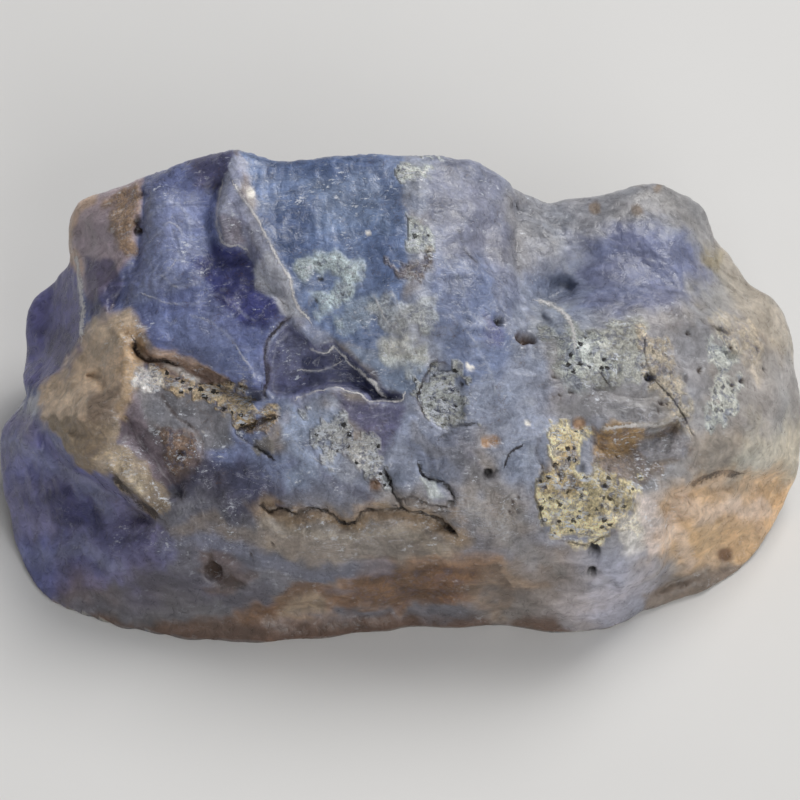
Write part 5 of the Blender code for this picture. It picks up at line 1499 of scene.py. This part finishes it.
def stone_material():
    """Waxy chalcedony with light let a little way in, duller where it is gritty or dark."""
    nodes = Nodes("agate_stone")
    object_place = nodes.add("ShaderNodeTexCoord").outputs["Object"]
    place = nodes.stretched(object_place, Scale=(1.0 / MM,) * 3)
    tint = nodes.attribute("tint", "Color")
    grit, worn = nodes.attribute("grit"), nodes.attribute("worn")
    grain = nodes.noise(place, *GRAIN)
    colour, fine = cloudy_depth(nodes, place, grain, tint, worn)
    colour, crust_height = crusty_grain(nodes, place, grain, colour, grit)
    colour = flecks_and_glints(nodes, place, grain, colour, grit, worn)
    edge, crack = drawn_line(nodes, grain, "edge"), drawn_line(nodes, grain, "crack")
    colour = nodes.paint(crack, nodes.paint(edge, colour, EDGE_WHITE), CRACK_BROWN)
    height = stone_height(nodes, fine, crust_height, edge, crack)
    bump = nodes.add("ShaderNodeBump", {"Height": height, "Distance": 0.00015, "Strength": 0.8})
    rough = nodes.plus(nodes.grade(grit, "dulled by grit"), nodes.grade(fine, "uneven gloss"))
    darkness = nodes.add("ShaderNodeRGBToBW", {0: tint}).outputs[0]
    rough = nodes.plus(rough, nodes.grade(darkness, "dulled where dark"))
    inputs = nodes.shader.inputs
    nodes.tree.links.new(colour, inputs["Base Color"])
    nodes.tree.links.new(rough, inputs["Roughness"])
    nodes.tree.links.new(bump.outputs[0], inputs["Normal"])
    inputs["Subsurface Weight"].default_value = 0.18
    inputs["Subsurface Radius"].default_value = (1.0, 0.85, 0.9)
    inputs["Subsurface Scale"].default_value = 0.0007
    inputs["IOR"].default_value = 1.54
    return nodes.material


def card_material():
    """Pale grey card with a faint mottle."""
    nodes = Nodes("pale_card")
    place = nodes.add("ShaderNodeTexCoord").outputs["Object"]
    share = nodes.noise(place, 90.0, 3.0, 0.55, 0.0)
    colour = nodes.mix(share, (*linear(CARD_DARK), 1.0), (*linear(CARD_PALE), 1.0))
    nodes.tree.links.new(colour, nodes.shader.inputs["Base Color"])
    nodes.shader.inputs["Roughness"].default_value = 0.8
    return nodes.material


def add_floor():
    """A flat card, wide enough to fill the view from any side."""
    half = FLOOR_HALF
    corners = [(-half, -half, 0.0), (half, -half, 0.0), (half, half, 0.0), (-half, half, 0.0)]
    mesh = bpy.data.meshes.new("card_floor")
    mesh.from_pydata(corners, [], [(0, 1, 2, 3)])
    floor = bpy.data.objects.new("card_floor", mesh)
    bpy.context.scene.collection.objects.link(floor)
    floor.data.materials.append(card_material())


def aim(thing, place, target, up):
    """Stands an object at a place, with its -Z towards the target and its Y near `up`."""
    back = place - target
    back = back / np.linalg.norm(back)
    right = np.cross(up, back)
    right = right / np.linalg.norm(right)
    above = np.cross(back, right)
    matrix = np.eye(4)
    matrix[:3, 0], matrix[:3, 1], matrix[:3, 2], matrix[:3, 3] = right, above, back, place
    thing.matrix_world = Matrix(matrix.tolist())


def add_camera():
    """The camera looks square onto the drawing plane from its viewing distance."""
    axes = plane_axes()
    target = (np.array(PLANE_ORIGIN) + SETTLE) * MM
    camera = bpy.data.cameras.new("camera")
    camera.lens = LENS
    camera.sensor_width = SENSOR
    camera.clip_start = CLIP_START
    thing = bpy.data.objects.new("camera", camera)
    bpy.context.scene.collection.objects.link(thing)
    aim(thing, target + axes[2] * VIEW_DISTANCE * MM, target, axes[1])
    bpy.context.scene.camera = thing


def add_softbox(name, place, size, power, colour):
    """A square soft light that faces the stone."""
    light = bpy.data.lights.new(name, "AREA")
    light.size = size
    light.energy = power
    light.color = colour
    thing = bpy.data.objects.new(name, light)
    bpy.context.scene.collection.objects.link(thing)
    aim(thing, np.array(place), np.array(LIGHT_TARGET), np.array((0.0, 0.02, 1.0)))


def add_lights():
    """Daylight from above and behind, a weak fill from the front, and an even pale sky."""
    add_softbox(*WINDOW)
    add_softbox(*FRONT_FILL)
    world = bpy.data.worlds.new("pale_sky")
    world.use_nodes = True
    background = world.node_tree.nodes["Background"]
    background.inputs["Color"].default_value = (*linear(SKY), 1.0)
    background.inputs["Strength"].default_value = SKY_STRENGTH
    bpy.context.scene.world = world
    bpy.context.scene.view_settings.view_transform = "Standard"


def main():
    """Builds the stone over its solid, and the floor, camera and lights."""
    stone = build_stone()
    stone.data.materials.append(stone_material())
    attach(stone, "root")
    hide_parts("agate")
    add_floor()
    add_camera()
    add_lights()


main()
